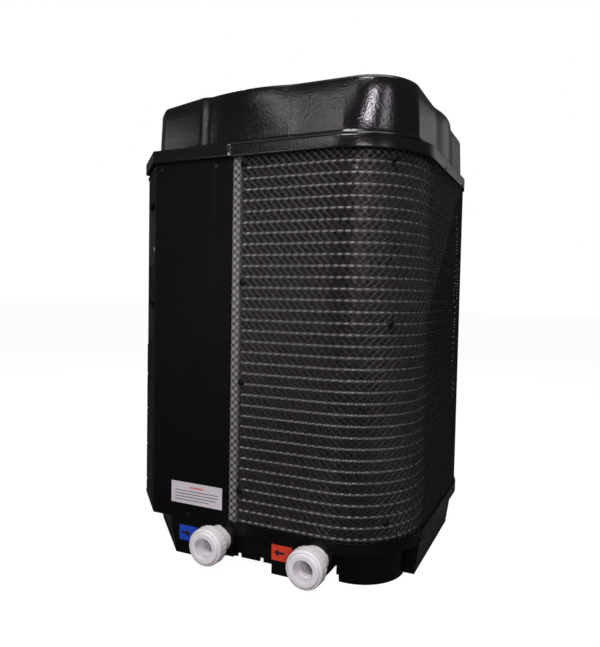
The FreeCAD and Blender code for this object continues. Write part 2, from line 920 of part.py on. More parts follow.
def controller_board():
    """Circuit board with one small switch behind each button."""
    y0 = panel_inset + display_pocket_depth - fascia_wall
    y1 = y0 + case_depth - case_wall
    w = case_half - 0.2 - case_wall
    switch_top = y0 + button_gap + button_flange + button_travel + button_gap
    board = box(-w, w, y1 - board_thick, y1, case_bottom + 0.2 + case_wall,
                case_top - 0.2 - case_wall)
    switches = [rod((x, switch_top, button_height), 3.0, y1 - board_thick - switch_top, (0, 1, 0))
                for x in button_places]
    module = box(-lens_half + 4, lens_half - 4, y0 + 2, y1 - board_thick, lens_bottom + 3, lens_top - 3)
    return joined([board, module] + switches)


def cable_gland():
    """Gland through the back of the wiring pocket: body, flange and dome, bored for the lead."""
    y1 = panel_inset + wiring_pocket_depth
    y0 = y1 - fascia_wall
    body = rod((gland_x, y0 - 22, gland_z), gland_thread, 22 + fascia_wall + 12, (0, 1, 0))
    flange = rod((gland_x, y0 - 6, gland_z), gland_thread + 4, 6, (0, 1, 0))
    dome = rod((gland_x, y0 - 24, gland_z), gland_thread + 3, 14, (0, 1, 0))
    bore = rod((gland_x, y0 - 30, gland_z), gland_bore, 60, (0, 1, 0))
    return joined([body, flange, dome]).cut(bore)


def gland_locknut():
    y1 = panel_inset + wiring_pocket_depth
    return hollow_rod((gland_x, y1, gland_z), gland_thread + 4, gland_thread, 5, (0, 1, 0))


def blank_plug():
    """Plug in the second cable hole."""
    y0 = panel_inset + wiring_pocket_depth - fascia_wall
    cap = rod((-gland_x, y0 - 3, gland_z), plug_radius + 3, 3, (0, 1, 0))
    stem = rod((-gland_x, y0, gland_z), plug_radius, fascia_wall, (0, 1, 0))
    return joined([cap, stem])


# ---------- electrical parts behind the fascia ----------

def electrical_box():
    """Tall sheet tray behind the fascia: back, two sides down to the tray floor, two shelves."""
    y0 = panel_inset + wiring_pocket_depth
    y1 = y0 + box_depth
    w = box_half
    back = box(-w, w, y1 - sheet, y1, tray_floor_top, box_top)
    sides = [box(-w, -w + sheet, y0, y1, tray_floor_top, box_top),
             box(w - sheet, w, y0, y1, tray_floor_top, box_top)]
    shelves = [box(-w, w, y0, y1, box_shelf, box_shelf + sheet),
               box(-w, w, y0, y1, box_top - sheet, box_top)]
    return joined([back] + sides + shelves)


def on_box_back(depth):
    """Front and back of a component of this depth that is fixed to the tray's back."""
    y1 = panel_inset + wiring_pocket_depth + box_depth - sheet
    return y1 - depth, y1


def contactor():
    """Contactor body with a slot in its face for the moving armature."""
    y0, y1 = on_box_back(contactor_depth)
    shape = box(-contactor_half, contactor_half, y0, y1, contactor_bottom, contactor_top)
    slot = box(-armature_half - armature_gap, armature_half + armature_gap, y0 - 1,
               y0 + armature_depth + armature_travel + armature_gap,
               armature_bottom - armature_gap, armature_top + armature_gap)
    return shape.cut(slot)


def contactor_armature():
    y0 = on_box_back(contactor_depth)[0]
    return box(-armature_half, armature_half, y0 - armature_proud, y0 + armature_depth,
               armature_bottom, armature_top)


def capacitor(x, radius, low, high):
    """Round can capacitor standing in a strap, with two blade terminals."""
    y1 = on_box_back(0)[1]
    can = rod((x, y1 - radius, low), radius, high - low)
    blades = [box(x + dx - 3, x + dx + 3, y1 - radius - 0.5, y1 - radius + 0.5, high, high + 9)
              for dx in (-8, 8)]
    return joined([can] + blades)


def transformer():
    """Control transformer: laminated core with the winding round its middle leg."""
    y0, y1 = on_box_back(44)
    core = box(-30, 30, y0 + 8, y1 - 4, transformer_bottom, transformer_bottom + 50)
    windings = box(-16, 16, y0, y0 + 8, transformer_bottom + 10, transformer_bottom + 40)
    foot = box(-40, 40, y1 - 4, y1, transformer_bottom, transformer_bottom + 50)
    return joined([core, windings, foot])


def terminal_block():
    """Mains terminal block with three clamps and their screw wells."""
    y0, y1 = on_box_back(28)
    shape = box(-36, 36, y0, y1, terminal_bottom, terminal_bottom + 26)
    cuts = [rod((x, y0 - 1, terminal_bottom + 13), 5, 15, (0, 1, 0)) for x in (-24, 0, 24)]
    cuts += [rod((x, y0 + 20, terminal_bottom - 1), 3, 28) for x in (-24, 0, 24)]
    return cut_all(shape, cuts)


def ground_lug():
    y0, y1 = on_box_back(14)
    shape = box(44, 56, y0, y1, terminal_bottom, terminal_bottom + 22)
    return shape.cut(rod((50, (y0 + y1) / 2, terminal_bottom - 1), 3, 24))


# ---------- cowl ----------

def cowl_radius(angle, inset):
    """Rounded square in polar form, with a shallow wave added all the way round."""
    c = abs(math.cos(angle)) ** cowl_power
    s = abs(math.sin(angle)) ** cowl_power
    square = cowl_half / (c + s) ** (1 / cowl_power)
    return square + cowl_wave * math.cos(cowl_lobes * angle) - inset


def wavy_outline(inset, z):
    samples = 6 * cowl_lobes
    points = []
    for k in range(samples):
        angle = 2 * math.pi * k / samples
        r = cowl_radius(angle, inset)
        points.append(Vector(r * math.cos(angle), r * math.sin(angle), z))
    curve = Part.BSplineCurve()
    curve.interpolate(points, PeriodicFlag=True)
    return Part.Wire(curve.toShape())


def chamfer_keep(distance, z0, z1):
    """Everything on the cabinet's side of a plane parallel to the chamfer."""
    keep = box(-2 * half, 2 * half, -distance, 3 * half, z0, z1)
    keep.rotate(origin, up, -45)
    return keep


def wavy_wall(inset, z0, z1):
    """Upright wavy plug under a crown that draws in at the top."""
    shoulder = z1 - cowl_crown
    body = Part.Face(wavy_outline(inset, z0)).extrude(Vector(0, 0, shoulder - z0))
    crown = Part.makeLoft([wavy_outline(inset, shoulder), wavy_outline(inset + cowl_crown, z1)], True, True)
    plug = body.fuse(crown)
    return plug.common(chamfer_keep(cowl_chamfer_distance - inset, z0 - 1, z1 + 1))


def cowl_screw_places():
    """Screws through the rim."""
    height = rim_bottom + 7
    along = half - corner_radius - 20
    right = [((half, y, height), right_in) for y in (-72.0, along)]
    back = [((x, half, height), (0.0, -1.0, 0.0)) for x in (-along, along)]
    left = [((-half, y, height), (1.0, 0.0, 0.0)) for y in (along, 0.0)]
    return right + back + left


def cowl_rim():
    """Rim band, the deeper stretch of it over the control corner, and the cap that sits on the coil."""
    rim = band(0, rim_wall, rim_bottom, rim_top)
    proud = band(-rim_step, rim_wall, rim_bottom - rim_lip, rim_top).common(
        service_corner(service_edge - rim_joggle, rim_bottom - rim_lip, rim_top))
    cap = band(rim_wall, coil_cap_width, coil_top, coil_top + rim_wall)
    cap = cap.cut(service_corner(service_edge + 1, rim_bottom, rim_top))
    return cut_all(joined([rim, proud, cap]), screw_holes(cowl_screw_places(), rim_wall))


def top_cowl():
    """Rim, shoulder, wavy wall and top deck with the fan mouth, moulded in one."""
    z0 = rim_top - rim_wall
    inner = wavy_wall(cowl_wall, z0 - 1, cowl_top - cowl_wall)
    wall = wavy_wall(0, z0, cowl_top).cut(inner)
    wall = wall.cut(rod((0, 0, cowl_top - 2 * cowl_wall), cowl_mouth_radius, 3 * cowl_wall))
    wall = cut_all(wall, screw_holes(shroud_screw_places(), cowl_wall))
    shoulder = plate(0, z0, rim_top).cut(inner)
    return joined([wall, shoulder, cowl_rim()])


def fan_shroud():
    """Orifice ring: flange under the deck, straight throat and a flared inlet."""
    r0 = shroud_radius
    r1 = r0 + shroud_wall
    top = cowl_top - cowl_wall
    flare = 14.0
    profile = [
        (r0, shroud_bottom + flare), (r0 + flare, shroud_bottom), (r1 + flare, shroud_bottom),
        (r1, shroud_bottom + flare + 1), (r1, top - shroud_wall),
        (r1 + shroud_flange_width, top - shroud_wall), (r1 + shroud_flange_width, top), (r0, top),
    ]
    ring = [Vector(r, 0, z) for r, z in profile]
    face = Part.Face(Part.makePolygon(ring + ring[:1]))
    shape = face.revolve(origin, up, 360)
    return cut_all(shape, screw_holes(shroud_screw_places(), cowl_wall + shroud_wall))


def shroud_screw_places():
    r = (cowl_mouth_radius + shroud_radius + shroud_wall + shroud_flange_width) / 2
    angles = [math.radians(22.5 + 45 * k) for k in range(8)]
    return [((r * math.cos(a), r * math.sin(a), cowl_top), (0.0, 0.0, -1.0)) for a in angles]


# ---------- fan ----------

def grille():
    """Welded wire guard: rings on radial spokes round a middle plate that carries the motor."""
    z_spoke = cowl_top + grille_spoke
    z_ring = z_spoke + grille_spoke + grille_wire - 0.6
    reach = cowl_mouth_radius + 14
    plate_disc = rod((0, 0, cowl_top), grille_plate_radius, grille_plate_thick)
    spokes = []
    for k in range(grille_spokes):
        a = 2 * math.pi * k / grille_spokes
        start = (0.75 * grille_plate_radius * math.cos(a), 0.75 * grille_plate_radius * math.sin(a), z_spoke)
        spokes.append(rod(start, grille_spoke, reach - 0.75 * grille_plate_radius,
                          (math.cos(a), math.sin(a), 0)))
    first = grille_plate_radius + 14
    step = (reach - grille_wire - first) / (grille_rings - 1)
    rings = [Part.makeTorus(first + k * step, grille_wire, Vector(0, 0, z_ring)) for k in range(grille_rings)]
    shape = plate_disc.multiFuse(spokes + rings)
    holes = [rod((x, y, cowl_top - 1), stud_radius + 0.1, 20) for x, y in stud_places()]
    return cut_all(shape, holes)


def stud_places():
    return [(stud_circle * math.cos(a), stud_circle * math.sin(a))
            for a in [math.radians(45 + 90 * k) for k in range(4)]]


def motor_case():
    """Motor body hung under the guard plate, bored for its shaft."""
    body = rod((0, 0, motor_bottom), motor_radius, motor_top - motor_bottom)
    boss = rod((0, 0, motor_bottom - 6), 22, 6)
    neck = rod((0, 0, motor_top), motor_radius - 20, cowl_top - motor_top)
    bore = rod((0, 0, motor_bottom - 7), shaft_radius + shaft_clearance, shaft_top - motor_bottom + 8)
    shape = joined([body, boss, neck]).cut(bore)
    holes = [rod((x, y, motor_top - 20), stud_radius, 60) for x, y in stud_places()]
    return cut_all(shape, holes)


def motor_studs():
    """Studs from the motor through the guard plate, with their nuts."""
    studs = []
    for x, y in stud_places():
        z0 = motor_top - 20
        top = cowl_top + grille_plate_thick
        nut = rod((x, y, top), 2 * stud_radius, 4)
        studs.append(joined([rod((x, y, z0), stud_radius, top + 8 - z0), nut]))
    return Part.Compound(studs)


def motor_shaft():
    return rod((0, 0, fan_hub_bottom - 8), shaft_radius, shaft_top - fan_hub_bottom + 8)


def fan_blade(angle):
    """Twisted flat blade between a steep root section and a flatter tip section."""
    sections = []
    for r, chord, pitch in ((fan_hub_radius - 6, 70.0, 42.0), (fan_radius - 6, 190.0, 18.0)):
        a = math.radians(pitch)
        tangent = (math.cos(a), math.sin(a))
        normal = (-math.sin(a), math.cos(a))
        points = []
        for s, t in ((-0.5, -0.5), (0.5, -0.5), (0.5, 0.5), (-0.5, 0.5)):
            y = s * chord * tangent[0] + t * blade_thick * normal[0]
            z = s * chord * tangent[1] + t * blade_thick * normal[1]
            points.append(Vector(r, y, fan_hub_bottom + fan_hub_height / 2 + z * blade_flatten))
        sections.append(Part.makePolygon(points + points[:1]))
    blade = Part.makeLoft(sections, True, True)
    blade.rotate(origin, up, angle)
    return blade


def fan():
    """Moulded fan: hub with a bore for the shaft and three blades inside one circle."""
    hub = rod((0, 0, fan_hub_bottom), fan_hub_radius, fan_hub_height)
    blades = [fan_blade(360 / fan_blades * k) for k in range(fan_blades)]
    reach = rod((0, 0, fan_hub_bottom - 60), fan_radius, 200)
    swept = joined([hub] + blades).common(reach)
    return swept.cut(rod((0, 0, fan_hub_bottom - 60), shaft_radius, 200))


def fan_nut():
    """Nut under the hub on the end of the shaft."""
    return hollow_rod((0, 0, fan_hub_bottom - 7), 11, shaft_radius, 7)


def grille_clips():
    """Saddles that hold four of the spokes down on the deck."""
    clips = []
    r0 = cowl_mouth_radius + 1
    for quarter in range(4):
        saddle = box(r0, r0 + clip_width, -clip_half, clip_half, cowl_top, cowl_top + clip_height)
        wire = rod((r0 - 1, 0, cowl_top + grille_spoke), grille_spoke, clip_width + 2, (1, 0, 0))
        saddle = saddle.cut(wire)
        saddle = saddle.cut(box(r0 - 1, r0 + clip_width + 1, -grille_spoke, grille_spoke,
                                cowl_top - 1, cowl_top + grille_spoke))
        clips.append(quarter_turn(saddle, quarter))
    return Part.Compound(clips)


# ---------- water side ----------

def union_body(x):
    """Bulkhead end of a union: thread under the nut, collar on the base wall, pipe socket behind."""
    face = front - nut_front + nut_shoulder + tail_flange_thick
    wall = union_wall
    back = union_back
    thread_end = front - nut_front + nut_length + union_seat_gap
    thread = rod((x, face, union_height), union_thread_radius, thread_end - face, (0, 1, 0))
    collar = rod((x, thread_end, union_height), union_collar_radius, wall - thread_end, (0, 1, 0))
    barrel = rod((x, wall, union_height), union_barrel_radius, back - wall, (0, 1, 0))
    bore = rod((x, face - 1, union_height), pipe_bore, back - face + 2, (0, 1, 0))
    sleeve_end = face + sleeve_length + sleeve_clearance
    seat = rod((x, face - 1, union_height), sleeve_radius + sleeve_clearance,
               sleeve_end - face + 1, (0, 1, 0))
    socket = rod((x, back - pipe_socket, union_height), pipe_radius + bond_gap, pipe_socket + 1, (0, 1, 0))
    groove = hollow_rod((x, face - 1, union_height), oring_radius + oring_section,
                        oring_radius - oring_section, 1 + 1.7 * oring_section, (0, 1, 0))
    shape = joined([thread, collar, barrel])
    return cut_all(shape, [bore, seat, socket, groove])


def union_oring(x):
    face = front - nut_front + nut_shoulder + tail_flange_thick
    depth = 1.7 * oring_section
    return hollow_rod((x, face, union_height), oring_radius + oring_section,
                      oring_radius - oring_section, depth, (0, 1, 0))


def union_locknut(x):
    return hollow_rod((x, union_wall + tray_wall, union_height), locknut_radius,
                      union_barrel_radius + bond_gap, locknut_thick, (0, 1, 0))


def union_tail(x):
    """Sliding half of a union: pipe socket in front, flange trapped by the nut, sleeve behind."""
    tip = front - nut_front - tail_proud
    shoulder = front - nut_front + nut_shoulder
    tube = rod((x, tip, union_height), tail_radius, shoulder - tip, (0, 1, 0))
    flange = rod((x, shoulder + union_seat_gap, union_height), tail_flange_radius,
                 tail_flange_thick - 2 * union_seat_gap, (0, 1, 0))
    neck = rod((x, shoulder, union_height), tail_radius, union_seat_gap, (0, 1, 0))
    sleeve = rod((x, shoulder, union_height), sleeve_radius, tail_flange_thick + sleeve_length, (0, 1, 0))
    bore = rod((x, tip - 1, union_height), pipe_bore, nut_length + sleeve_length, (0, 1, 0))
    socket = rod((x, tip - 1, union_height), socket_radius, 1 + socket_depth, (0, 1, 0))
    return joined([tube, neck, flange, sleeve]).cut(bore).cut(socket)


def union_nut(x):
    """Union nut: grip facets outside, plain thread bore, shoulder round the tail."""
    y0 = front - nut_front
    body = rod((x, y0, union_height), nut_radius, nut_length, (0, 1, 0))
    mouth = rod((x, y0 - 1, union_height), tail_radius + tail_clearance, nut_shoulder + 2, (0, 1, 0))
    thread = rod((x, y0 + nut_shoulder, union_height), nut_bore, nut_length, (0, 1, 0))
    grips = []
    for k in range(nut_grips):
        a = 2 * math.pi * k / nut_grips
        r = nut_radius + grip_radius - grip_depth
        grips.append(rod((x + r * math.cos(a), y0 + grip_margin, union_height + r * math.sin(a)),
                         grip_radius, nut_length, (0, 1, 0)))
    return cut_all(body, [mouth, thread] + grips)


def water_pipe(x, port_height):
    """Pipe from a union socket, up through the tray floor, to a port in the tank's side."""
    points = [(x, union_back - pipe_socket, union_height), (x, tank_y, union_height),
              (x, tank_y, port_height), (tank_x, tank_y, port_height)]
    tank_outer = rod((tank_x, tank_y, tray_floor_top), tank_radius + bond_gap, tank_top - tray_floor_top)
    return pipe(points, elbow_radius, pipe_radius, pipe_bore).cut(tank_outer)


def tank():
    """Tank of the water heat exchanger: shell with two side ports and two coil holes."""
    outer = rod((tank_x, tank_y, tray_floor_top), tank_radius, tank_top - tray_floor_top)
    inner = rod((tank_x, tank_y, tray_floor_top + tank_wall), tank_radius - tank_wall, tank_top)
    cuts = [rod((tank_x, tank_y, water_in_height), pipe_bore, tank_radius + 5, (-1, 0, 0)),
            rod((tank_x, tank_y, water_out_height), pipe_bore, tank_radius + 5, (1, 0, 0)),
            helix_lead_rod(0), helix_lead_rod(helix_turn_half)]
    return cut_all(outer.cut(inner), cuts)


def tank_lid():
    """Domed lid with a plug that centres it in the shell."""
    plug = rod((tank_x, tank_y, tank_top - 8), tank_radius - tank_wall, 8)
    flange = rod((tank_x, tank_y, tank_top), tank_radius, 8)
    dome = Part.makeCone(tank_radius - 4, tank_radius / 2, tank_lid_height - 8,
                         Vector(tank_x, tank_y, tank_top + 8))
    return joined([plug, flange, dome])


def helix_point(turn):
    """Start or end of a half turn of the titanium coil, and the way it heads."""
    sign = 1 if turn % 2 else -1
    z = helix_bottom + turn * helix_rise
    return Vector(tank_x + sign * helix_radius, tank_y, z)


def helix_lead_rod(turn):
    """Room for a straight lead of the titanium coil out through the back of the tank."""
    p = helix_point(turn)
    return rod((p.x, p.y, p.z), helix_tube + bond_gap, helix_lead, (0, 1, 0))


def titanium_coil():
    """Coil of tangent half turns, each tilted a little, with two straight leads."""
    edges = []
    first = helix_point(0)
    last = helix_point(helix_turn_half)
    lead = Vector(0, helix_lead, 0)
    edges.append(Part.LineSegment(first + lead, first).toShape())
    for turn in range(helix_turn_half):
        a = helix_point(turn)
        b = helix_point(turn + 1)
        reach = (b - a).Length / 2
        sign = -1 if turn % 2 == 0 else 1
        middle = (a + b) / 2 + Vector(0, sign * reach, 0)
        edges.append(Part.Arc(a, middle, b).toShape())
    edges.append(Part.LineSegment(last, last + lead).toShape())
    section = Part.Wire(Part.makeCircle(helix_tube, first + lead, Vector(0, -1, 0)))
    return Part.Wire(edges).makePipeShell([section], True, True)


# ---------- refrigerant side ----------

def compressor():
    """Welded compressor shell with a domed top, a foot plate and a discharge stub."""
    z0 = compressor_bottom
    z1 = z0 + compressor_height
    r = compressor_radius
    body = rod((compressor_x, compressor_y, z0), r, compressor_height)
    rise = compressor_dome
    sphere = (r * r + rise * rise) / (2 * rise)
    ball = Part.makeSphere(sphere, Vector(compressor_x, compressor_y, z1 + rise - sphere))
    dome = ball.common(rod((compressor_x, compressor_y, z1), r, rise))
    f = compressor_foot
    foot = box(compressor_x - f, compressor_x + f, compressor_y - f, compressor_y + f,
               z0 - compressor_foot_thick, z0)
    stub = rod((compressor_x + stub_offset, compressor_y, z1), stub_radius, stub_height)
    shape = joined([body, dome, foot, stub])
    holes = [rod((x, y, z0 - 10), grommet_bolt + 0.5, 20) for x, y in compressor_bolt_places()]
    return cut_all(shape, holes)


def grommets():
    """Rubber mounts between the tray floor and the compressor's foot plate."""
    return Part.Compound([hollow_rod((x, y, tray_floor_top), grommet_radius, grommet_bolt, grommet_height)
                          for x, y in compressor_bolt_places()])


def compressor_bolts():
    """Bolts up through tray floor, grommet and foot plate, each with its nut."""
    bolts = []
    for x, y in compressor_bolt_places():
        z0 = pan_room[0]
        top = compressor_bottom
        shank = rod((x, y, z0), grommet_bolt, top + 14 - z0)
        head = rod((x, y, z0 - 4), 2 * grommet_bolt, 4)
        nut = rod((x, y, top), 2 * grommet_bolt, 6)
        bolts.append(joined([shank, head, nut]))
    return Part.Compound(bolts)


def terminal_cover():
    """Cover over the compressor's terminals, shaped to its shell."""
    y0 = compressor_y - compressor_radius - cover_depth
    shape = box(compressor_x - 32, compressor_x + 32, y0, compressor_y,
                compressor_bottom + 210, compressor_bottom + 290)
    return shape.cut(rod((compressor_x, compressor_y, compressor_bottom), compressor_radius + bond_gap,
                         compressor_height))


def discharge_pipe():
    start = helix_point(helix_turn_half)
    y0 = start.y + helix_lead
    top = compressor_bottom + compressor_height + stub_height
    crest = top + 3.5 * pipe_bend
    x1 = compressor_x + stub_offset
    return pipe([(start.x, y0, start.z), (start.x, y0 + 3 * pipe_bend, start.z),
                 (start.x, y0 + 3 * pipe_bend, crest), (x1, y0 + 3 * pipe_bend, crest),
                 (x1, compressor_y, crest), (x1, compressor_y, top)], pipe_bend, discharge_radius)


def drier():
    """Filter drier in the liquid line: barrel with a neck at each end."""
    x1 = helix_point(0).x - 2 * pipe_bend
    z = helix_bottom
    barrel = rod((x1 - drier_neck, distributor_y, z), drier_radius, drier_length, (-1, 0, 0))
    neck = rod((x1, distributor_y, z), liquid_radius + 2, drier_length + 2 * drier_neck, (-1, 0, 0))
    return joined([barrel, neck])


def liquid_line():
    """Pipe from the tank coil to the drier, and from the drier to the expansion valve."""
    start = helix_point(0)
    x1 = start.x - 2 * pipe_bend
    first = pipe([(start.x, start.y + helix_lead, start.z), (start.x, distributor_y, start.z),
                  (x1, distributor_y, start.z)], pipe_bend, liquid_radius)
    x2 = x1 - drier_length - 2 * drier_neck
    second = rod((x2, distributor_y, start.z), liquid_radius, x2 - valve_x - valve_half, (-1, 0, 0))
    return Part.Compound([first, second])


def expansion_valve():
    """Brass valve block with its round power head."""
    z = helix_bottom
    block = box(valve_x - valve_half, valve_x + valve_half, distributor_y - valve_half,
                distributor_y + valve_half, z - 17, z + 17)
    stem = rod((valve_x, distributor_y - valve_half, z), 7, 6, (0, -1, 0))
    head = rod((valve_x, distributor_y - valve_half - 6, z), 18, 10, (0, -1, 0))
    outlet = rod((valve_x, distributor_y, z + 17), 7, distributor_bottom - z - 17)
    return joined([block, stem, head, outlet])


def distributor():
    """Cone that splits the liquid between the capillaries."""
    cone = Part.makeCone(8, 15, distributor_height - 8, Vector(valve_x, distributor_y, distributor_bottom))
    top = rod((valve_x, distributor_y, distributor_bottom + distributor_height - 8), 15, 8)
    return joined([cone, top])


def coil_row_height(pair, second):
    return tube_heights[2 * pair + (1 if second else 0)]


def capillaries():
    """One small tube from the distributor to each circuit at the left end of the coil."""
    tubes = []
    ring = [0, 60, -60, 120, -120, 180]
    z0 = distributor_bottom + distributor_height
    x1 = -half + tube_columns[0]
    y1 = service_edge + end_plate_setback
    for pair, angle in zip(circuits, ring):
        a = math.radians(angle)
        x = valve_x + capillary_circle * math.sin(a)
        y = distributor_y + capillary_circle * math.cos(a)
        z = coil_row_height(pair, True)
        tubes.append(pipe([(x, y, z0), (x, y, z), (x1, y1 - 22, z), (x1, y1, z)], 10, capillary_radius))
    return Part.Compound(tubes)


def suction_header():
    """Upright manifold with one stub to each circuit at the left end of the coil."""
    x1 = -half + tube_columns[1]
    y0 = header_y
    y1 = service_edge + end_plate_setback
    low = coil_row_height(circuits[0], False) - 30
    high = coil_row_height(circuits[-1], False) + 30
    stubs = [rod((x1, y0, coil_row_height(pair, False)), tube_radius, y1 - y0, (0, 1, 0))
             for pair in circuits]
    return joined([rod((x1, y0, low), suction_radius, high - low)] + stubs)


def suction_pipe():
    """Pipe from the manifold to the side of the compressor."""
    x1 = -half + tube_columns[1]
    z = suction_height
    x2 = compressor_x - compressor_radius
    middle = (x1 + x2) / 2
    shape = pipe([(x1 + pipe_seat, header_y, z), (middle, header_y, z), (middle, compressor_y, z),
                  (compressor_x, compressor_y, z)], 2 * pipe_bend, suction_radius)
    shell = rod((compressor_x, compressor_y, compressor_bottom), compressor_radius, compressor_height)
    return shape.cut(shell)


def pressure_switch():
    """Water pressure switch on the front of the tank, on a threaded neck."""
    z = water_in_height + 120
    y1 = tank_y + math.sqrt(tank_radius ** 2 - switch_neck ** 2) + 4
    neck = rod((tank_x, tank_y, z), switch_neck, y1 + 6 - tank_y, (0, 1, 0))
    cap = rod((tank_x, y1 + 6, z), 16, 24, (0, 1, 0))
    shell = rod((tank_x, tank_y, tray_floor_top), tank_radius, tank_top - tray_floor_top)
    return joined([neck, cap]).cut(shell)


def drain_plug():
    """Winter drain plug low on the back of the tank."""
    z = tray_floor_top + 24
    shell = rod((tank_x, tank_y, tray_floor_top), tank_radius, tank_top - tray_floor_top)
    plug = rod((tank_x, tank_y, z), 9, tank_radius + 6, (0, 1, 0))
    wing = box(tank_x - 12, tank_x + 12, tank_y + tank_radius + 6, tank_y + tank_radius + 16, z - 3, z + 3)
    return joined([plug, wing]).cut(shell)


# ---------- labels ----------

def panel_label():
    """Blank white label on the service panel."""
    x0 = -half + chamfer_leg + label_left
    return box(x0, x0 + label_width, front + panel_inset - label_thick, front + panel_inset,
               label_bottom, label_bottom + label_height)


def water_label(x0):
    """Coloured arrow label on the foot wall beside a union."""
    y0 = front + foot_inset
    return box(x0, x0 + water_label_width, y0 - label_thick, y0, water_label_bottom,
               water_label_bottom + water_label_height)


def screws_at(places, grip):
    return Part.Compound([screw(place, axis, grip) for place, axis in places])


def both_sides(shape):
    return Part.Compound([shape, across_corner(shape)])


def at_unions(make):
    return Part.Compound([make(x) for x in (union_left_x, union_right_x)])


def housing_screws():
    """All pan-head screws of the housing."""
    return Part.Compound([
        screws_at(base_screw_places(), tray_inset + tray_wall),
        both_sides(screws_at(panel_screw_places(), sheet)),
        to_chamfer(screws_at(fascia_screw_places(), fascia_wall)),
        screws_at(cowl_screw_places(), rim_wall),
        screws_at(shroud_screw_places(), cowl_wall + shroud_wall),
    ])


def capacitors():
    """Run capacitors of the compressor and the fan."""
    return Part.Compound([
        capacitor(-26.0, 24.0, capacitor_bottom, capacitor_bottom + 110),
        capacitor(34.0, 18.0, capacitor_bottom, capacitor_bottom + 70),
    ])


# ---------- build ----------

parts = {
    "base_tray": base_tray(),
    "panel_foot": panel_foot(),
    "base_feet": base_feet(),
    "drain_spigot": drain_spigot(),
    "evaporator_fins": evaporator_fins(),
    "coil_end_plates": both_sides(end_plate()),
    "return_bends": Part.Compound([return_bends([]), across_corner(return_bends(circuits))]),
    "coil_guard": coil_guard(),
    "guard_clips": guard_clips(),
    "service_panel": service_panel(),
    "side_panel": across_corner(service_panel()),
    "control_fascia": to_chamfer(fascia()),
    "fasteners": Part.Compound([housing_screws(), compressor_bolts(), grille_clips(), motor_studs()]),
    "display_bezel": to_chamfer(display_bezel()),
    "display_lens": to_chamfer(display_lens()),
    "controller_case": to_chamfer(controller_case()),
    "controller_board": to_chamfer(controller_board()),
    "cable_gland": to_chamfer(Part.Compound([cable_gland(), gland_locknut()])),
    "blank_plug": to_chamfer(blank_plug()),
    "electrical_box": to_chamfer(electrical_box()),
    "contactor": to_chamfer(contactor()),
    "contactor_armature": to_chamfer(contactor_armature()),
    "capacitors": to_chamfer(capacitors()),
    "transformer": to_chamfer(transformer()),
    "terminals": to_chamfer(Part.Compound([terminal_block(), ground_lug()])),
    "top_cowl": top_cowl(),
    "fan_shroud": fan_shroud(),
    "fan_grille": grille(),
    "motor_case": motor_case(),
    "motor_shaft": motor_shaft(),
    "fan": fan(),
    "fan_nut": fan_nut(),
    "tank_shell": tank(),
    "tank_lid": tank_lid(),
    "titanium_coil": titanium_coil(),
    "water_pipes": Part.Compound([
        water_pipe(union_left_x, water_in_height),
        water_pipe(union_right_x, water_out_height),
    ]),
    "pressure_switch": pressure_switch(),
    "drain_plug": drain_plug(),
    "union_bodies": at_unions(union_body),
    "union_locknuts": at_unions(union_locknut),
    "union_orings": at_unions(union_oring),
    "compressor": compressor(),
    "compressor_grommets": grommets(),
    "terminal_cover": terminal_cover(),
    "discharge_pipe": discharge_pipe(),
    "suction_line": joined([suction_header(), suction_pipe()]),
    "liquid_line": liquid_line(),
    "filter_drier": drier(),
    "expansion_valve": joined([expansion_valve(), distributor()]),
    "capillaries": capillaries(),
    "label_panel": panel_label(),
    "label_inlet": water_label(inlet_label_x),
    "label_outlet": water_label(outlet_label_x),
}

for name, x in (("inlet", union_left_x), ("outlet", union_right_x)):
    parts["union_tail_" + name] = union_tail(x)
    parts["union_nut_" + name] = union_nut(x)

for name, x in zip(("mode", "down", "up"), button_places):
    parts["button_" + name] = to_chamfer(button(x))

os.makedirs("parts", exist_ok=True)
for name, shape in parts.items():
    shape.exportStep(os.path.join("parts", name + ".step"))
print(len(parts), "parts")
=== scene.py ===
import json
import math
import bpy
import numpy as np
from mathutils import Matrix, Vector


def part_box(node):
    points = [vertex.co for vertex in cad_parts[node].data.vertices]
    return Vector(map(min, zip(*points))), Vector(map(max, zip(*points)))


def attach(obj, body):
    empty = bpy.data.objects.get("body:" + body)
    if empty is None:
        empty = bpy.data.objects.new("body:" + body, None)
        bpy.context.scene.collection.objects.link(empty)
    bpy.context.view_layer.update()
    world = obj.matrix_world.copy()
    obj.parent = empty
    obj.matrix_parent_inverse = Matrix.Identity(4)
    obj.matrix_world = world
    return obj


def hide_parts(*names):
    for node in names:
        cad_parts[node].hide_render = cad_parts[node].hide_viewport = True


# Pool heat pump in metres, Z up, front towards -Y, drawn round the parts in the frame.

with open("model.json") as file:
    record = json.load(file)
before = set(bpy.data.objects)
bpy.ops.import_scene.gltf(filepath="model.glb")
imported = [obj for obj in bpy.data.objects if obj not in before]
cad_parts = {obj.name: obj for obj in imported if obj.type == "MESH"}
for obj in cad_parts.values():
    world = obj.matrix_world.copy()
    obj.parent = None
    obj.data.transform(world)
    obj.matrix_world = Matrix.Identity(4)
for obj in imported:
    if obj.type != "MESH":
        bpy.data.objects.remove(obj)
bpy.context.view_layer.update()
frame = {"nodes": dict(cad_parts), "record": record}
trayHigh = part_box("base_tray")[1]
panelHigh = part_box("service_panel")[1]
finLow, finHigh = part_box("evaporator_fins")
cowlLow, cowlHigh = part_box("top_cowl")

cabinet = {
    "half": trayHigh.x,               # from the middle to each side
    "corner": 0.210,                  # radius of the three round corners
    "chamfer": 0.117,                 # leg of the cut corner, front left
    "edge": panelHigh.x + 0.001,      # where the service panel ends and the net starts
}
half = cabinet["half"]
flat = half - cabinet["corner"]       # where a straight side ends
print("frame loaded", len(frame["nodes"]), "nodes")


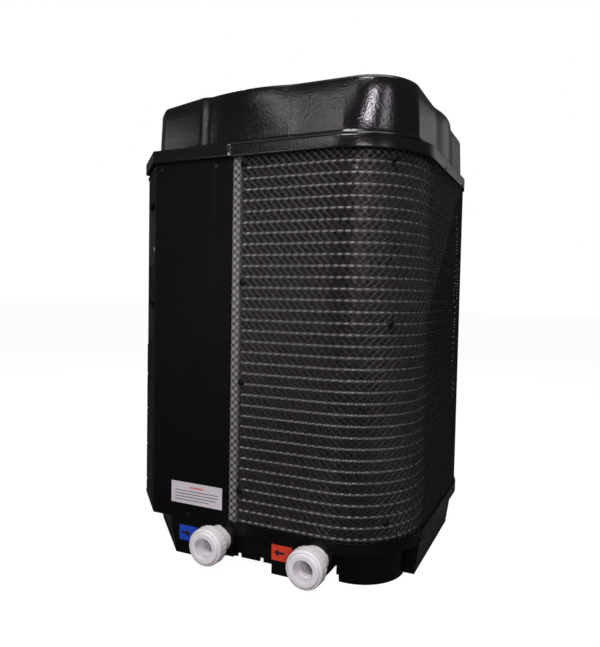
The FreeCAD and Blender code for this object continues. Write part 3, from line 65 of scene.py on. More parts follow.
# Quads between neighbours of a rows x columns grid of points, wrapped round where it closes.
def gridFaces(rows, columns, closeRows=False, closeColumns=False):
    r = np.arange(rows if closeRows else rows - 1)[:, None]
    c = np.arange(columns if closeColumns else columns - 1)[None, :]
    r2, c2 = (r + 1) % rows, (c + 1) % columns
    quads = [r * columns + c, r * columns + c2, r2 * columns + c2, r2 * columns + c]
    return np.stack(np.broadcast_arrays(*quads), -1).reshape(-1, 4)


# Faces of one shape, repeated for copies whose points follow one another.
def repeatFaces(quads, copies, pointsEach):
    return (quads[None] + (np.arange(copies) * pointsEach)[:, None, None]).reshape(-1, 4)


# Six times the volume inside closed quads: the sum of a . (b x c) over their triangles.
def signedVolume(points, quads):
    a, b, c, d = (points[quads[:, k]] for k in range(4))
    return np.einsum("ij,ij->", a, np.cross(b, c)) + np.einsum("ij,ij->", a, np.cross(c, d))


# Mesh object from arrays. A closed mesh that is inside out is turned the right way.
def addMesh(name, points, quads, smooth=True):
    points = np.asarray(points, float).reshape(-1, 3)
    if signedVolume(points - points.mean(0), quads) < 0:
        quads = quads[:, ::-1]
    mesh = bpy.data.meshes.new(name)
    mesh.vertices.add(len(points))
    mesh.vertices.foreach_set("co", points.astype(np.float32).ravel())
    mesh.loops.add(quads.size)
    mesh.loops.foreach_set("vertex_index", quads.astype(np.int32).ravel())
    mesh.polygons.add(len(quads))
    mesh.polygons.foreach_set("loop_start", np.arange(0, quads.size, 4, dtype=np.int32))
    mesh.polygons.foreach_set("use_smooth", np.full(len(quads), smooth))
    mesh.update(calc_edges=True)
    mesh.validate()
    piece = bpy.data.objects.new(name, mesh)
    bpy.context.scene.collection.objects.link(piece)
    return piece


# One mesh of many four-sided prisms. points holds the two end rings of each.
def prisms(name, points):
    quads = np.concatenate([gridFaces(2, 4, False, True), [[0, 1, 2, 3], [7, 6, 5, 4]]])
    return addMesh(name, points, repeatFaces(quads, len(points), 8), smooth=False)


# Closed polyline with each corner replaced by a parabola that starts and ends radius away from
# it: (1 - t)^2 of its start, 2t(1 - t) of the corner and t^2 of its end.
def softCorners(corners, radius, steps):
    p = np.asarray(corners, float)
    runIn, runOut = np.roll(p, 1, 0) - p, np.roll(p, -1, 0) - p
    lengthIn = np.linalg.norm(runIn, axis=1, keepdims=True)
    lengthOut = np.linalg.norm(runOut, axis=1, keepdims=True)
    longest = 0.48 * np.minimum(lengthIn, lengthOut)         # not quite half the shorter side
    cut = np.minimum(np.reshape(radius, (-1, 1)), longest)
    start, end = p + runIn / lengthIn * cut, p + runOut / lengthOut * cut
    t = np.linspace(0, 1, steps + 1)[None, :, None]
    curve = (1 - t) ** 2 * start[:, None] + 2 * t * (1 - t) * p[:, None] + t ** 2 * end[:, None]
    return curve.reshape(-1, p.shape[1])


# Closed profile (distance along the axis, radius) carried round the axis: centre + along x axis
# + radius x (cos of the angle x side + sin x other). ripple(angle, along, radius) gives a radius
# that changes round the piece.
def turned(name, profile, centre, axis, sides, ripple=None):
    axis = Vector(axis).normalized()
    side = axis.orthogonal().normalized()
    other = axis.cross(side)
    angle = np.linspace(0, 2 * np.pi, sides, endpoint=False)[:, None]
    along, radius = profile[None, :, 0], profile[None, :, 1]
    radius = radius + np.zeros_like(angle) if ripple is None else ripple(angle, along, radius)
    points = (np.array(centre) + along[..., None] * np.array(axis)
              + (radius * np.cos(angle))[..., None] * np.array(side)
              + (radius * np.sin(angle))[..., None] * np.array(other))
    return addMesh(name, points, gridFaces(sides, len(profile), True, True))


# Plan points and outward normals at distances s along the coil's route, which runs front,
# corner, right, corner, back, corner, left on the outline moved in by inset. On a straight a
# point is its start + distance x heading, on a corner it is the middle + radius x normal.
def wrapPath(s, inset):
    depth, r = half - inset, cabinet["corner"] - inset
    stub, arc = flat - cabinet["edge"], r * np.pi / 2
    lengths = np.array([stub, arc, 2 * flat, arc, 2 * flat, arc, stub])
    starts = np.concatenate([[0], np.cumsum(lengths)[:-1]])
    run = np.clip(np.searchsorted(starts, s, side="right") - 1, 0, len(starts) - 1)
    local = s - starts[run]
    bends = run % 2 == 1
    quarter = (run + 1) // 2 * np.pi / 2 - np.where(bends, np.pi / 2, 0)
    heading = quarter + np.where(bends, local / r, 0)
    corners = np.array([[cabinet["edge"], -depth], [flat, -flat], [depth, -flat], [flat, flat],
                        [flat, depth], [-flat, flat], [-depth, flat]])
    direction = np.stack([np.cos(heading), np.sin(heading)], -1)
    normal = np.stack([np.sin(heading), -np.cos(heading)], -1)
    straight = corners[run] + local[..., None] * direction
    bent = corners[run] + r * normal
    return np.where(bends[..., None], bent, straight), normal


def wrapLength(inset):
    arcs = 3 * (cabinet["corner"] - inset) * np.pi / 2
    return 2 * (flat - cabinet["edge"]) + 4 * flat + arcs


# Points at distance s and height z, moved in from the route at inset by depth.
def onWrap(s, z, depth, inset):
    plan, normal = wrapPath(s, inset)
    plan = plan - normal * np.asarray(depth)[..., None]
    return np.concatenate([plan, np.asarray(z)[..., None]], -1)


# Distance from the middle to the cabinet's outline, moved in by inset, at each angle: the side
# over the greater of cos and sin, a root where an arc rounds the corner, and the cut corner's
# distance over the cosine of the angle from it.
def outlineRadius(angle, inset):
    c, s = np.abs(np.cos(angle)), np.abs(np.sin(angle))
    square = (half - inset) / np.maximum(c, s)
    r = cabinet["corner"] - inset
    rounded = flat * (c + s) + np.sqrt(np.maximum(r * r - (flat * (c - s)) ** 2, 0))
    radius = np.where(square * np.minimum(c, s) > flat, rounded, square)
    controlCorner = (np.cos(angle) < 0) & (np.sin(angle) < 0)
    cut = (2 * half - cabinet["chamfer"]) / math.sqrt(2) - inset
    chamfer = cut / np.maximum(np.cos(angle - 1.25 * np.pi), 0.3)     # 0.3 only keeps it finite
    return np.where(controlCorner, np.minimum(square, chamfer), radius)


def newMaterial(name):
    material = bpy.data.materials.new(name)
    material.use_nodes = True
    nodes = material.node_tree.nodes
    return material, nodes, material.node_tree.links, nodes["Principled BSDF"]


# A shader node with its properties and its sockets' values set by name.
def node(nodes, kind, **values):
    made = nodes.new(kind)
    for key, value in values.items():
        if hasattr(made, key):
            setattr(made, key, value)
        else:
            made.inputs[key].default_value = value
    return made


def noise(nodes, links, coordinate, scale, detail=4.0):
    made = node(nodes, "ShaderNodeTexNoise", Scale=scale, Detail=detail)
    links.new(coordinate, made.inputs["Vector"])
    return made.outputs["Fac"]


# Noise, most of which lies between 0.3 and 0.7, stretched to the range low to high.
def spread(nodes, links, value, low, high):
    made = node(nodes, "ShaderNodeMapRange",
                **{"From Min": 0.3, "From Max": 0.7, "To Min": low, "To Max": high})
    links.new(value, made.inputs["Value"])
    return made.outputs["Result"]


def blendColours(nodes, links, value, first, second):
    made = node(nodes, "ShaderNodeMix", data_type="RGBA", A=(*first, 1), B=(*second, 1))
    links.new(value, made.inputs["Factor"])
    return made.outputs["Result"]


# Surface with colour clouds between two tones, roughness that varies with them and a fine grain
# as bump. cloud and grain are sizes in metres, bump is a height, edge rounds the corners.
def finish(name, first, second, cloud, rough, grain, bump, metallic=0.0, specular=0.5, coat=0.0,
           edge=0.0):
    material, nodes, links, shader = newMaterial(name)
    place = nodes.new("ShaderNodeTexCoord").outputs["Object"]
    clouds = noise(nodes, links, place, 1 / cloud)
    share = spread(nodes, links, clouds, 0, 1)
    links.new(blendColours(nodes, links, share, first, second), shader.inputs["Base Color"])
    links.new(spread(nodes, links, clouds, *rough), shader.inputs["Roughness"])
    relief = node(nodes, "ShaderNodeBump", Strength=1.0, Distance=bump)
    links.new(noise(nodes, links, place, 1 / grain, detail=3.0), relief.inputs["Height"])
    if edge:
        rounded = node(nodes, "ShaderNodeBevel", samples=4, Radius=edge)
        links.new(rounded.outputs["Normal"], relief.inputs["Normal"])
    links.new(relief.outputs["Normal"], shader.inputs["Normal"])
    shader.inputs["Metallic"].default_value = metallic
    shader.inputs["Specular IOR Level"].default_value = specular
    shader.inputs["Coat Weight"].default_value = coat
    return material


finishes = {
    "cabinet_plastic": dict(
        first=(0.0056, 0.0049, 0.0055), second=(0.0080, 0.0071, 0.0079), cloud=0.06,
        rough=(0.12, 0.17), grain=0.0046, bump=0.00055, edge=0.0015),
    # darker, less glossy copy of cabinet_plastic for the base: its darker colour is painted shade
    # on the low parts by the floor
    "base_plastic_painted_shade": dict(
        first=(0.0018, 0.0017, 0.0018), second=(0.0030, 0.0028, 0.0030), cloud=0.06,
        rough=(0.26, 0.34), grain=0.0030, bump=0.0002, specular=0.25, edge=0.0015),
    "panel_paint": dict(
        first=(0.0022, 0.0022, 0.0021), second=(0.0032, 0.0032, 0.0031), cloud=0.12,
        rough=(0.42, 0.50), grain=0.0012, bump=0.00003, specular=0.10, edge=0.0008),
    "fascia_plastic": dict(
        first=(0.0062, 0.0064, 0.0064), second=(0.0088, 0.0090, 0.0090), cloud=0.05,
        rough=(0.45, 0.6), grain=0.0012, bump=0.00008, specular=0.2, edge=0.001),
    "fin_stock": dict(
        first=(0.066, 0.058, 0.064), second=(0.106, 0.094, 0.103), cloud=0.02,
        rough=(0.32, 0.45), grain=0.001, bump=0.00002, metallic=0.3),
    "tube_metal": dict(
        first=(0.29, 0.285, 0.29), second=(0.36, 0.355, 0.36), cloud=0.05,
        rough=(0.36, 0.42), grain=0.004, bump=0.00002, metallic=0.3),
    "galvanised_sheet": dict(
        first=(0.36, 0.355, 0.365), second=(0.48, 0.475, 0.485), cloud=0.006,
        rough=(0.35, 0.50), grain=0.002, bump=0.00004, metallic=0.35),
    "netting": dict(
        first=(0.0115, 0.0106, 0.0112), second=(0.0175, 0.0162, 0.0170), cloud=0.03,
        rough=(0.22, 0.30), grain=0.002, bump=0.0001),
    "black_nylon": dict(
        first=(0.005, 0.005, 0.005), second=(0.009, 0.009, 0.009), cloud=0.01,
        rough=(0.25, 0.38), grain=0.001, bump=0.00005),
    "clip_black": dict(
        first=(0.0016, 0.0016, 0.0017), second=(0.0026, 0.0026, 0.0027), cloud=0.01,
        rough=(0.45, 0.55), grain=0.001, bump=0.00002, specular=0.15),
    "screw_steel": dict(
        first=(0.05, 0.05, 0.052), second=(0.10, 0.10, 0.104), cloud=0.004,
        rough=(0.25, 0.4), grain=0.001, bump=0.00003, metallic=1.0),
    "guard_wire": dict(
        first=(0.014, 0.014, 0.015), second=(0.024, 0.024, 0.025), cloud=0.02,
        rough=(0.3, 0.42), grain=0.002, bump=0.0001),
    "shroud_plastic": dict(
        first=(0.018, 0.018, 0.018), second=(0.028, 0.028, 0.028), cloud=0.05,
        rough=(0.42, 0.55), grain=0.0015, bump=0.0001),
    "fan_plastic": dict(
        first=(0.026, 0.026, 0.027), second=(0.040, 0.040, 0.042), cloud=0.03,
        rough=(0.36, 0.5), grain=0.0012, bump=0.00008),
    "motor_paint": dict(
        first=(0.030, 0.031, 0.033), second=(0.050, 0.052, 0.055), cloud=0.02,
        rough=(0.34, 0.5), grain=0.0015, bump=0.0001, edge=0.001),
    "bright_steel": dict(
        first=(0.50, 0.50, 0.51), second=(0.66, 0.66, 0.67), cloud=0.006,
        rough=(0.16, 0.3), grain=0.001, bump=0.00002, metallic=1.0),
    "white_pvc": dict(
        first=(0.77, 0.745, 0.75), second=(0.84, 0.82, 0.825), cloud=0.025,
        rough=(0.24, 0.36), grain=0.004, bump=0.00008, edge=0.0008),
    "tank_plastic": dict(
        first=(0.28, 0.29, 0.30), second=(0.38, 0.39, 0.40), cloud=0.05,
        rough=(0.4, 0.55), grain=0.002, bump=0.0001, edge=0.002),
    "titanium_tube": dict(
        first=(0.38, 0.37, 0.35), second=(0.52, 0.51, 0.48), cloud=0.01,
        rough=(0.28, 0.4), grain=0.002, bump=0.00003, metallic=1.0),
    "copper_tube": dict(
        first=(0.55, 0.24, 0.13), second=(0.80, 0.44, 0.29), cloud=0.03,
        rough=(0.24, 0.45), grain=0.003, bump=0.00004, metallic=1.0),
    "valve_brass": dict(
        first=(0.58, 0.42, 0.18), second=(0.78, 0.62, 0.32), cloud=0.01,
        rough=(0.22, 0.4), grain=0.002, bump=0.00004, metallic=1.0, edge=0.0008),
    "compressor_paint": dict(
        first=(0.012, 0.012, 0.013), second=(0.022, 0.022, 0.023), cloud=0.04,
        rough=(0.2, 0.35), grain=0.004, bump=0.0002, coat=0.2, edge=0.002),
    "mount_rubber": dict(
        first=(0.014, 0.014, 0.014), second=(0.026, 0.026, 0.026), cloud=0.008,
        rough=(0.6, 0.8), grain=0.0008, bump=0.0001),
    "case_plastic": dict(
        first=(0.020, 0.020, 0.021), second=(0.032, 0.032, 0.034), cloud=0.02,
        rough=(0.36, 0.5), grain=0.0008, bump=0.00005, edge=0.0008),
    "circuit_board": dict(
        first=(0.010, 0.075, 0.032), second=(0.020, 0.125, 0.055), cloud=0.004,
        rough=(0.3, 0.45), grain=0.002, bump=0.0001),
    "button_rubber": dict(
        first=(0.22, 0.225, 0.23), second=(0.30, 0.305, 0.31), cloud=0.003,
        rough=(0.5, 0.7), grain=0.0006, bump=0.00005, edge=0.0008),
    "capacitor_can": dict(
        first=(0.56, 0.56, 0.57), second=(0.72, 0.72, 0.73), cloud=0.02,
        rough=(0.2, 0.34), grain=0.004, bump=0.00003, metallic=1.0, edge=0.001),
    "core_steel": dict(
        first=(0.10, 0.09, 0.08), second=(0.20, 0.18, 0.16), cloud=0.004,
        rough=(0.4, 0.6), grain=0.001, bump=0.0001, metallic=0.8),
    "switchgear_plastic": dict(
        first=(0.48, 0.47, 0.43), second=(0.60, 0.59, 0.55), cloud=0.01,
        rough=(0.4, 0.55), grain=0.001, bump=0.00005, edge=0.0008),
    "label_white": dict(
        first=(0.60, 0.57, 0.60), second=(0.66, 0.63, 0.66), cloud=0.05,
        rough=(0.3, 0.4), grain=0.003, bump=0.00003),
    "label_blue": dict(
        first=(0.010, 0.055, 0.42), second=(0.014, 0.075, 0.52), cloud=0.03,
        rough=(0.3, 0.42), grain=0.003, bump=0.00003),
    "label_red": dict(
        first=(0.66, 0.045, 0.022), second=(0.76, 0.065, 0.03), cloud=0.03,
        rough=(0.3, 0.42), grain=0.003, bump=0.00003),
    "label_ink": dict(
        first=(0.10, 0.10, 0.11), second=(0.16, 0.16, 0.17), cloud=0.004,
        rough=(0.4, 0.5), grain=0.001, bump=0.00002),
    "dark_ink": dict(
        first=(0.010, 0.010, 0.014), second=(0.016, 0.016, 0.020), cloud=0.004,
        rough=(0.4, 0.5), grain=0.003, bump=0.00001),
    "red_ink": dict(
        first=(0.62, 0.20, 0.19), second=(0.70, 0.27, 0.25), cloud=0.004,
        rough=(0.4, 0.5), grain=0.003, bump=0.00001),
}
materials = {name: finish(name, **values) for name, values in finishes.items()}

window = {
    "first": (0.018, 0.026, 0.032),
    "second": (0.030, 0.040, 0.048),
    "waves": 60,                      # to the metre
    "bump": 0.00004,
    "rough": 0.08,
    "alpha": 0.82,
}


# Clear window with a smoked tint and slight waves in its face.
def smokedWindow():
    material, nodes, links, shader = newMaterial("display_window")
    place = nodes.new("ShaderNodeTexCoord").outputs["Object"]
    waves = noise(nodes, links, place, window["waves"])
    tint = blendColours(nodes, links, waves, window["first"], window["second"])
    links.new(tint, shader.inputs["Base Color"])
    relief = node(nodes, "ShaderNodeBump", Distance=window["bump"])
    links.new(waves, relief.inputs["Height"])
    links.new(relief.outputs["Normal"], shader.inputs["Normal"])
    shader.inputs["Roughness"].default_value = window["rough"]
    shader.inputs["Alpha"].default_value = window["alpha"]
    return material


materials["display_window"] = smokedWindow()

slotOf = {part["node"]: part["material_slot"] for part in frame["record"]["subparts"]}
# the base pieces wear that darker copy of the cabinet plastic, which paints shade onto them
paintedShadeBase = dict.fromkeys(("base_tray", "panel_foot", "base_feet"), "base_plastic_painted_shade")
for name, cadNode in frame["nodes"].items():
    cadNode.data.materials.clear()
    cadNode.data.materials.append(materials[paintedShadeBase.get(name, slotOf[name])])
print("materials", len(materials))


# Finishes a new piece: material slot, the body it rides on, the nodes it stands for, and a
# material of its own where it doesn't wear its slot's.
def dress(piece, body, slot, *nodes, material=None):
    piece.data.materials.append(materials[material or slot])
    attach(piece, body)
    if nodes:
        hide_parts(*nodes)
    return piece


coil = {
    "inset": half - finHigh.x,
    "depth": 0.044,
    "finPitch": 0.0021,
    "finSheet": 0.00034,
    "finFront": 0.0072,               # the fins' edges lie behind the fronts of the first tubes
    "finBack": 0.0004,                # and this far short of the coil's back
    "finGap": 0.001,                  # free above and below the fins and beside the end ones
    "finWander": 0.00012,             # how unevenly they are spaced
    "seed": 7,
    "start": 0.0205,                  # from the edge of the net to the end fin
    "tubePitch": 0.0272,
    "tubeRadius": 0.0033,
    "tubeStart": 0.004,               # from there to the tubes' ends
    "tubeSteps": 60,
    "tubeSides": 8,
    "columns": (0.0095, 0.033),       # depth of each tube column in the fins
    "firstRow": 0.0082,
}


# Upright plates across the coil's depth, each a thin box square to the route.
def coilFins():
    inset, gap = coil["inset"], coil["finGap"]
    length = wrapLength(inset)
    count = int((length - 2 * coil["start"]) / coil["finPitch"])
    rng = np.random.default_rng(coil["seed"])
    s = np.linspace(coil["start"] + gap, length - coil["start"] - gap, count)
    s = s + rng.normal(0, coil["finWander"], count)
    plan, normal = wrapPath(s, inset)
    along = np.stack([-normal[:, 1], normal[:, 0]], -1) * coil["finSheet"] / 2
    first, last = coil["finFront"], coil["depth"] - coil["finBack"]
    ring = np.stack([plan - normal * inward + along * side
                     for inward, side in ((first, -1), (first, 1), (last, 1), (last, -1))], 1)
    levels = (finLow.z + gap, finHigh.z - gap)
    points = [np.concatenate([ring, np.full(ring.shape[:2] + (1,), z)], -1) for z in levels]
    return prisms("coil_fins", np.stack(points, 1))


# Tube rows bent round the coil: depth + radius x cos and height + radius x sin of eight angles,
# carried along the route.
def coilTubes():
    inset, radius, sides = coil["inset"], coil["tubeRadius"], coil["tubeSides"]
    rows = int((finHigh.z - finLow.z) / coil["tubePitch"])
    heights = finLow.z + coil["firstRow"] + coil["tubePitch"] * np.arange(rows)
    end = coil["start"] + coil["tubeStart"]
    s = np.linspace(end, wrapLength(inset) - end, coil["tubeSteps"])[:, None]
    s = np.broadcast_to(s, (len(s), sides))
    angle = np.linspace(0, 2 * np.pi, sides, endpoint=False) + 0 * s
    points = [onWrap(s, z + radius * np.sin(angle), depth + radius * np.cos(angle), inset)
              for depth in coil["columns"] for z in heights]
    caps = np.array([[0, 1, 2, 3], [0, 3, 4, 7], [4, 5, 6, 7]])
    quads = np.concatenate([gridFaces(len(s), sides, False, True),
                            caps, caps[:, ::-1] + (len(s) - 1) * sides])
    return addMesh("coil_tubes", points, repeatFaces(quads, len(points), s.size))


fins = dress(coilFins(), "root", "fin_stock", "evaporator_fins")
tubes = dress(coilTubes(), "root", "galvanised_sheet", material="tube_metal")
print("coil", len(fins.data.polygons), len(tubes.data.polygons))

net = {
    "inset": 0.0062,
    "bottom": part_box("coil_guard")[0].z,
    "top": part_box("coil_guard")[1].z,
    "across": 121,                    # meshes along the route
    "up": 51,                         # meshes in the height
    "width": (0.0021, 0.0035),        # strand between crossings, and at them
    "thick": 0.0028,
    "layer": 0.0007,                  # each set of strands lies this far off the middle
    "endGap": 0.0015,                 # from the route's ends to the net
    "turnGap": 0.0012,                # from there to the middle of a strand that turns back
    "rimGap": 0.001,                  # free above and below
}


# One set of slanted strands. A strand climbs half a mesh per step and turns back at the ends of
# the route, so distance along the route is a triangle wave of the step number.
def netStrands(name, slope):
    inset = net["inset"]
    length = wrapLength(inset) - 2 * net["endGap"]
    step = length / net["across"] / 2
    count = 4 * net["up"] + 1                        # two points per crossing
    k = np.arange(net["across"])[:, None]
    m = np.arange(count)[None, :]
    run = (2 * k + 1) * step + slope * m * step / 2
    s = np.abs((run + length) % (2 * length) - length)
    s = np.clip(s, net["turnGap"], length - net["turnGap"]) + net["endGap"]
    tall = net["top"] - net["bottom"] - 2 * net["rimGap"]
    z = net["bottom"] + net["rimGap"] + m / (count - 1) * tall + 0 * k
    crossing = 0.5 + 0.5 * np.cos(np.pi * m)
    width = net["width"][0] + (net["width"][1] - net["width"][0]) * crossing
    centre = onWrap(s, z, slope * net["layer"] + 0 * s, inset)
    ahead = np.gradient(centre, axis=1)
    ahead /= np.linalg.norm(ahead, axis=-1, keepdims=True) + 1e-9
    normal = wrapPath(s, inset)[1]
    out = np.concatenate([normal, np.zeros(normal.shape[:-1] + (1,))], -1)
    side = np.cross(ahead, out)
    side /= np.linalg.norm(side, axis=-1, keepdims=True) + 1e-9
    w = width[..., None] / 2 + 0 * centre
    t = net["thick"] / 2
    ring = np.stack([centre + side * w, centre + out * t, centre - side * w, centre - out * t], 2)
    last = (count - 1) * 4
    caps = np.array([[0, 1, 2, 3], [last + 3, last + 2, last + 1, last]])
    quads = np.concatenate([gridFaces(count, 4, False, True), caps])
    return addMesh(name, ring, repeatFaces(quads, net["across"], count * 4))


netRising = dress(netStrands("net_rising", 1), "root", "netting", "coil_guard")
netFalling = dress(netStrands("net_falling", -1), "root", "netting")
print("net", len(netRising.data.polygons) + len(netFalling.data.polygons), "quads")

clip = {
    "fromEnd": 0.036,                 # from each end of the net to its end clips
    "endHeights": (0.195, 0.472, 0.722, 1.015),
    "bendHeights": (0.156, 0.629, 1.011),
    "profile": (                      # distance out of the net, radius
        (-0.0060, 0.0002), (-0.0060, 0.0025), (0.0024, 0.0028), (0.0024, 0.0084),
        (0.0032, 0.0092), (0.0050, 0.0080), (0.0062, 0.0052), (0.0078, 0.0044),
        (0.0084, 0.0002),
    ),
    "rounding": 0.0007,
    "roundSteps": 3,
    "sides": 28,
}


# Washer heads on the net: a low dome with a raised middle, turned about the net's outward
# direction, with a flat back that reaches in through the net to the fins.
def netClips():
    inset, sides = net["inset"], clip["sides"]
    arc = (cabinet["corner"] - inset) * np.pi / 2
    bends = flat - cabinet["edge"] + arc / 2 + np.arange(3) * (arc + 2 * flat)
    ends = np.array([clip["fromEnd"], wrapLength(inset) - clip["fromEnd"]])
    place = np.array([(s, z) for s in ends for z in clip["endHeights"]]
                     + [(s, z) for s in bends for z in clip["bendHeights"]])
    profile = softCorners(clip["profile"], clip["rounding"], clip["roundSteps"])
    plan, normal = wrapPath(place[:, 0], inset)
    out = np.concatenate([normal, np.zeros((len(place), 1))], -1)[:, None, None]
    aside = np.stack([-out[..., 1], out[..., 0], out[..., 2]], -1)
    up = np.array([0, 0, 1.0])
    turn = np.linspace(0, 2 * np.pi, sides, endpoint=False)[None, None, :, None]
    ahead, radius = profile[None, :, 0, None, None], profile[None, :, 1, None, None]
    middle = np.concatenate([plan, place[:, 1:]], -1)[:, None, None]
    points = middle + out * ahead + radius * (aside * np.cos(turn) + up * np.sin(turn))
    quads = gridFaces(len(profile), sides, True, True)
    return addMesh("net_clips", points, repeatFaces(quads, len(place), len(profile) * sides))


clips = dress(netClips(), "root", "black_nylon", "guard_clips", material="clip_black")
print("clips", len(clips.data.polygons), "quads")

cowl = {
    "sides": 1080,
    "rimBottom": cowlLow.z + 0.002,
    "rimTop": cowlLow.z + 0.034,
    "top": cowlHigh.z,
    "flat": 0.396,                    # flat part of the front and left walls, from the middle
    "flatBack": 0.381,                # the same for the right and back walls
    "round": 0.120,                   # radius of the three round corners
    "bulge": 0.409,                   # the wall's bulges follow a circle about the middle
    "bulgeBack": 0.394,
    "bulgeEdge": 0.0045,              # how softly they run into the flats
    "bulgeRise": 0.0012,              # most that the wall stands out past the circle
    "notch": math.radians(17.8),      # where the bulge ends beside the control corner
    "notchRun": math.radians(4.5),
    "cut": 0.462,                     # distance of the cut corner's face from the middle
    "facet": 0.421,                   # the same for the flat face on each side of it
    "facetTurn": math.radians(28.3),  # how far those two faces are turned from the cut
    "facetEdge": 0.002,               # how softly the faces meet
    "mouth": 0.322,
    "draft": 0.005,
    "step": 0.006,                    # the rim stands this much prouder over the panels
    "stepEnd": 0.004,                 # and this far short of the panels' edges
    "sharpRun": 0.002,                # angle between the extra points at a sharp corner
    # the shell's profile, as steps inward and up from the line that each part follows
    "rimFoot": ((0, -0.0015), (0, 0.004)),
    "rimEdge": ((0, -0.006), (0.0005, -0.003), (0.0018, -0.0012), (0.0035, -0.0003), (0.0045, 0)),
    "shoulder": ((-0.006, 0.0001), (-0.002, 0.0012), (-0.0004, 0.0045), (0.0002, 0.010)),
    "crown": ((0, -0.012), (0.0012, -0.007), (0.0035, -0.003), (0.0075, -0.0006), (0.012, 0)),
    "lip": ((-0.030, 0), (-0.006, 0), (-0.002, -0.001), (0, -0.003), (-0.0005, -0.004),
            (-0.03, -0.004)),
    "underCrown": ((0.016, -0.004), (0.004, -0.018)),
    "underShoulder": ((0.004, -0.004),),
    "underRim": ((0.010, -0.004), (0.003, -0.008)),
    "rimInside": ((0.003, -0.0015),),
    "wallShares": (0.25, 0.5, 0.75),  # the rings between the wall's foot and the crown
}


# Greater of two lengths, with the corner between them rounded over width: half of their sum and
# of the root of their difference squared + width squared.
def softMax(a, b, width):
    return (a + b + np.sqrt((a - b) ** 2 + width ** 2)) / 2


# Distance from the middle to a rounded rectangle whose walls stand at low (front, left) and
# high (right, back): the box's reach, less what its corner arcs take off.
def roundedSquare(angle, low, high, radius):
    c, s = np.cos(angle), np.sin(angle)
    wallX, wallY = np.where(c > 0, high, low), np.where(s < 0, low, high)
    c, s = np.abs(c), np.abs(s)
    square = np.minimum(wallX / np.maximum(c, 1e-6), wallY / np.maximum(s, 1e-6))
    a, b = wallX - radius, wallY - radius
    inside = np.maximum(radius ** 2 - (a * s - b * c) ** 2, 0)
    arc = a * c + b * s + np.sqrt(inside)
    return np.where((square * c > a) & (square * s > b), arc, square)


# Plan of the cowl's wall: a rounded square whose walls bulge to a circle in the middle, and
# three flat faces at the control corner that start at a notch beside the bulge. A flat face is
# its distance over the cosine of the angle from it, where 0.5 only keeps the far side finite.
def wallRadius(angle):
    around = (angle + np.pi / 2 + np.pi / 4) % (2 * np.pi)       # 0 at the control corner
    fromCorner = np.minimum(around, 2 * np.pi - around)
    nearFront = fromCorner < np.pi / 2
    fromMiddle = np.pi / 4 - fromCorner                          # grows towards that corner
    radius = roundedSquare(angle, cowl["flat"], cowl["flatBack"], cowl["round"])
    bulge = np.where(nearFront, cowl["bulge"], cowl["bulgeBack"])
    radius = softMax(radius, bulge, cowl["bulgeEdge"])
    most = np.minimum(radius, bulge + cowl["bulgeRise"])
    radius = np.where(nearFront & (fromMiddle > 0), most, radius)
    facet = cowl["facet"] / np.maximum(np.cos(fromCorner - cowl["facetTurn"]), 0.5)
    cut = cowl["cut"] / np.maximum(np.cos(fromCorner), 0.5)
    share = np.clip((fromMiddle - cowl["notch"]) / cowl["notchRun"], 0, 1)
    share = share * share * (3 - 2 * share)
    radius = np.where(nearFront & (share > 0), radius + (facet - radius) * share, radius)
    return np.where(nearFront, -softMax(-radius, -cut, cowl["facetEdge"]), radius)


# Rings round the middle, one per point of a profile that goes up the rim, in over the shoulder,
# up the wavy wall, over the crown, in to the fan mouth, and back along the inside.
def topCowl():
    angle = np.linspace(0, 2 * np.pi, cowl["sides"], endpoint=False)
    cut = np.arctan2(-half, -half + cabinet["chamfer"])
    sharp = np.array([cut, -cut]) % (2 * np.pi)              # front edge of the cut, and its mirror
    angle = np.sort(np.concatenate([angle, sharp, sharp + cowl["sharpRun"],
                                    sharp - cowl["sharpRun"]]))
    rim = outlineRadius(angle, 0)
    x, y = rim * np.cos(angle), rim * np.sin(angle)
    panelEnd = cabinet["edge"] - cowl["stepEnd"]
    overPanels = ((x < panelEnd) & (y < -flat)) | ((y < panelEnd) & (x < -flat))
    wall = wallRadius(angle)
    foot = np.minimum(wall + cowl["draft"], rim - cowl["rimEdge"][-1][0])
    rim = rim + np.where(overPanels, cowl["step"], 0)
    mouth = np.full_like(angle, cowl["mouth"])
    low, mid, top = cowl["rimBottom"], cowl["rimTop"], cowl["top"]
    wallFoot, wallTop = mid + cowl["shoulder"][-1][1], top + cowl["crown"][0][1]
    slope = [(foot + (wall - foot) * share, wallFoot + (wallTop - wallFoot) * share)
             for share in cowl["wallShares"]]

    def steps(line, height, key):
        return [(line - inward, height + up) for inward, up in cowl[key]]

    rings = (steps(rim, low, "rimFoot") + steps(rim, mid, "rimEdge")
             + steps(foot, mid, "shoulder") + slope + steps(wall, top, "crown")
             + steps(mouth, top, "lip") + steps(wall, top, "underCrown")
             + steps(foot, mid, "underShoulder") + steps(rim, mid, "underRim")
             + steps(rim, low, "rimInside"))
    points = np.stack([np.stack([r * np.cos(angle), r * np.sin(angle), z + 0 * angle], -1)
                       for r, z in rings])
    return addMesh("cowl_shell", points, gridFaces(len(rings), len(angle), True, True))


cowlShell = dress(topCowl(), "root", "cabinet_plastic", "top_cowl")
print("cowl", len(cowlShell.data.polygons))

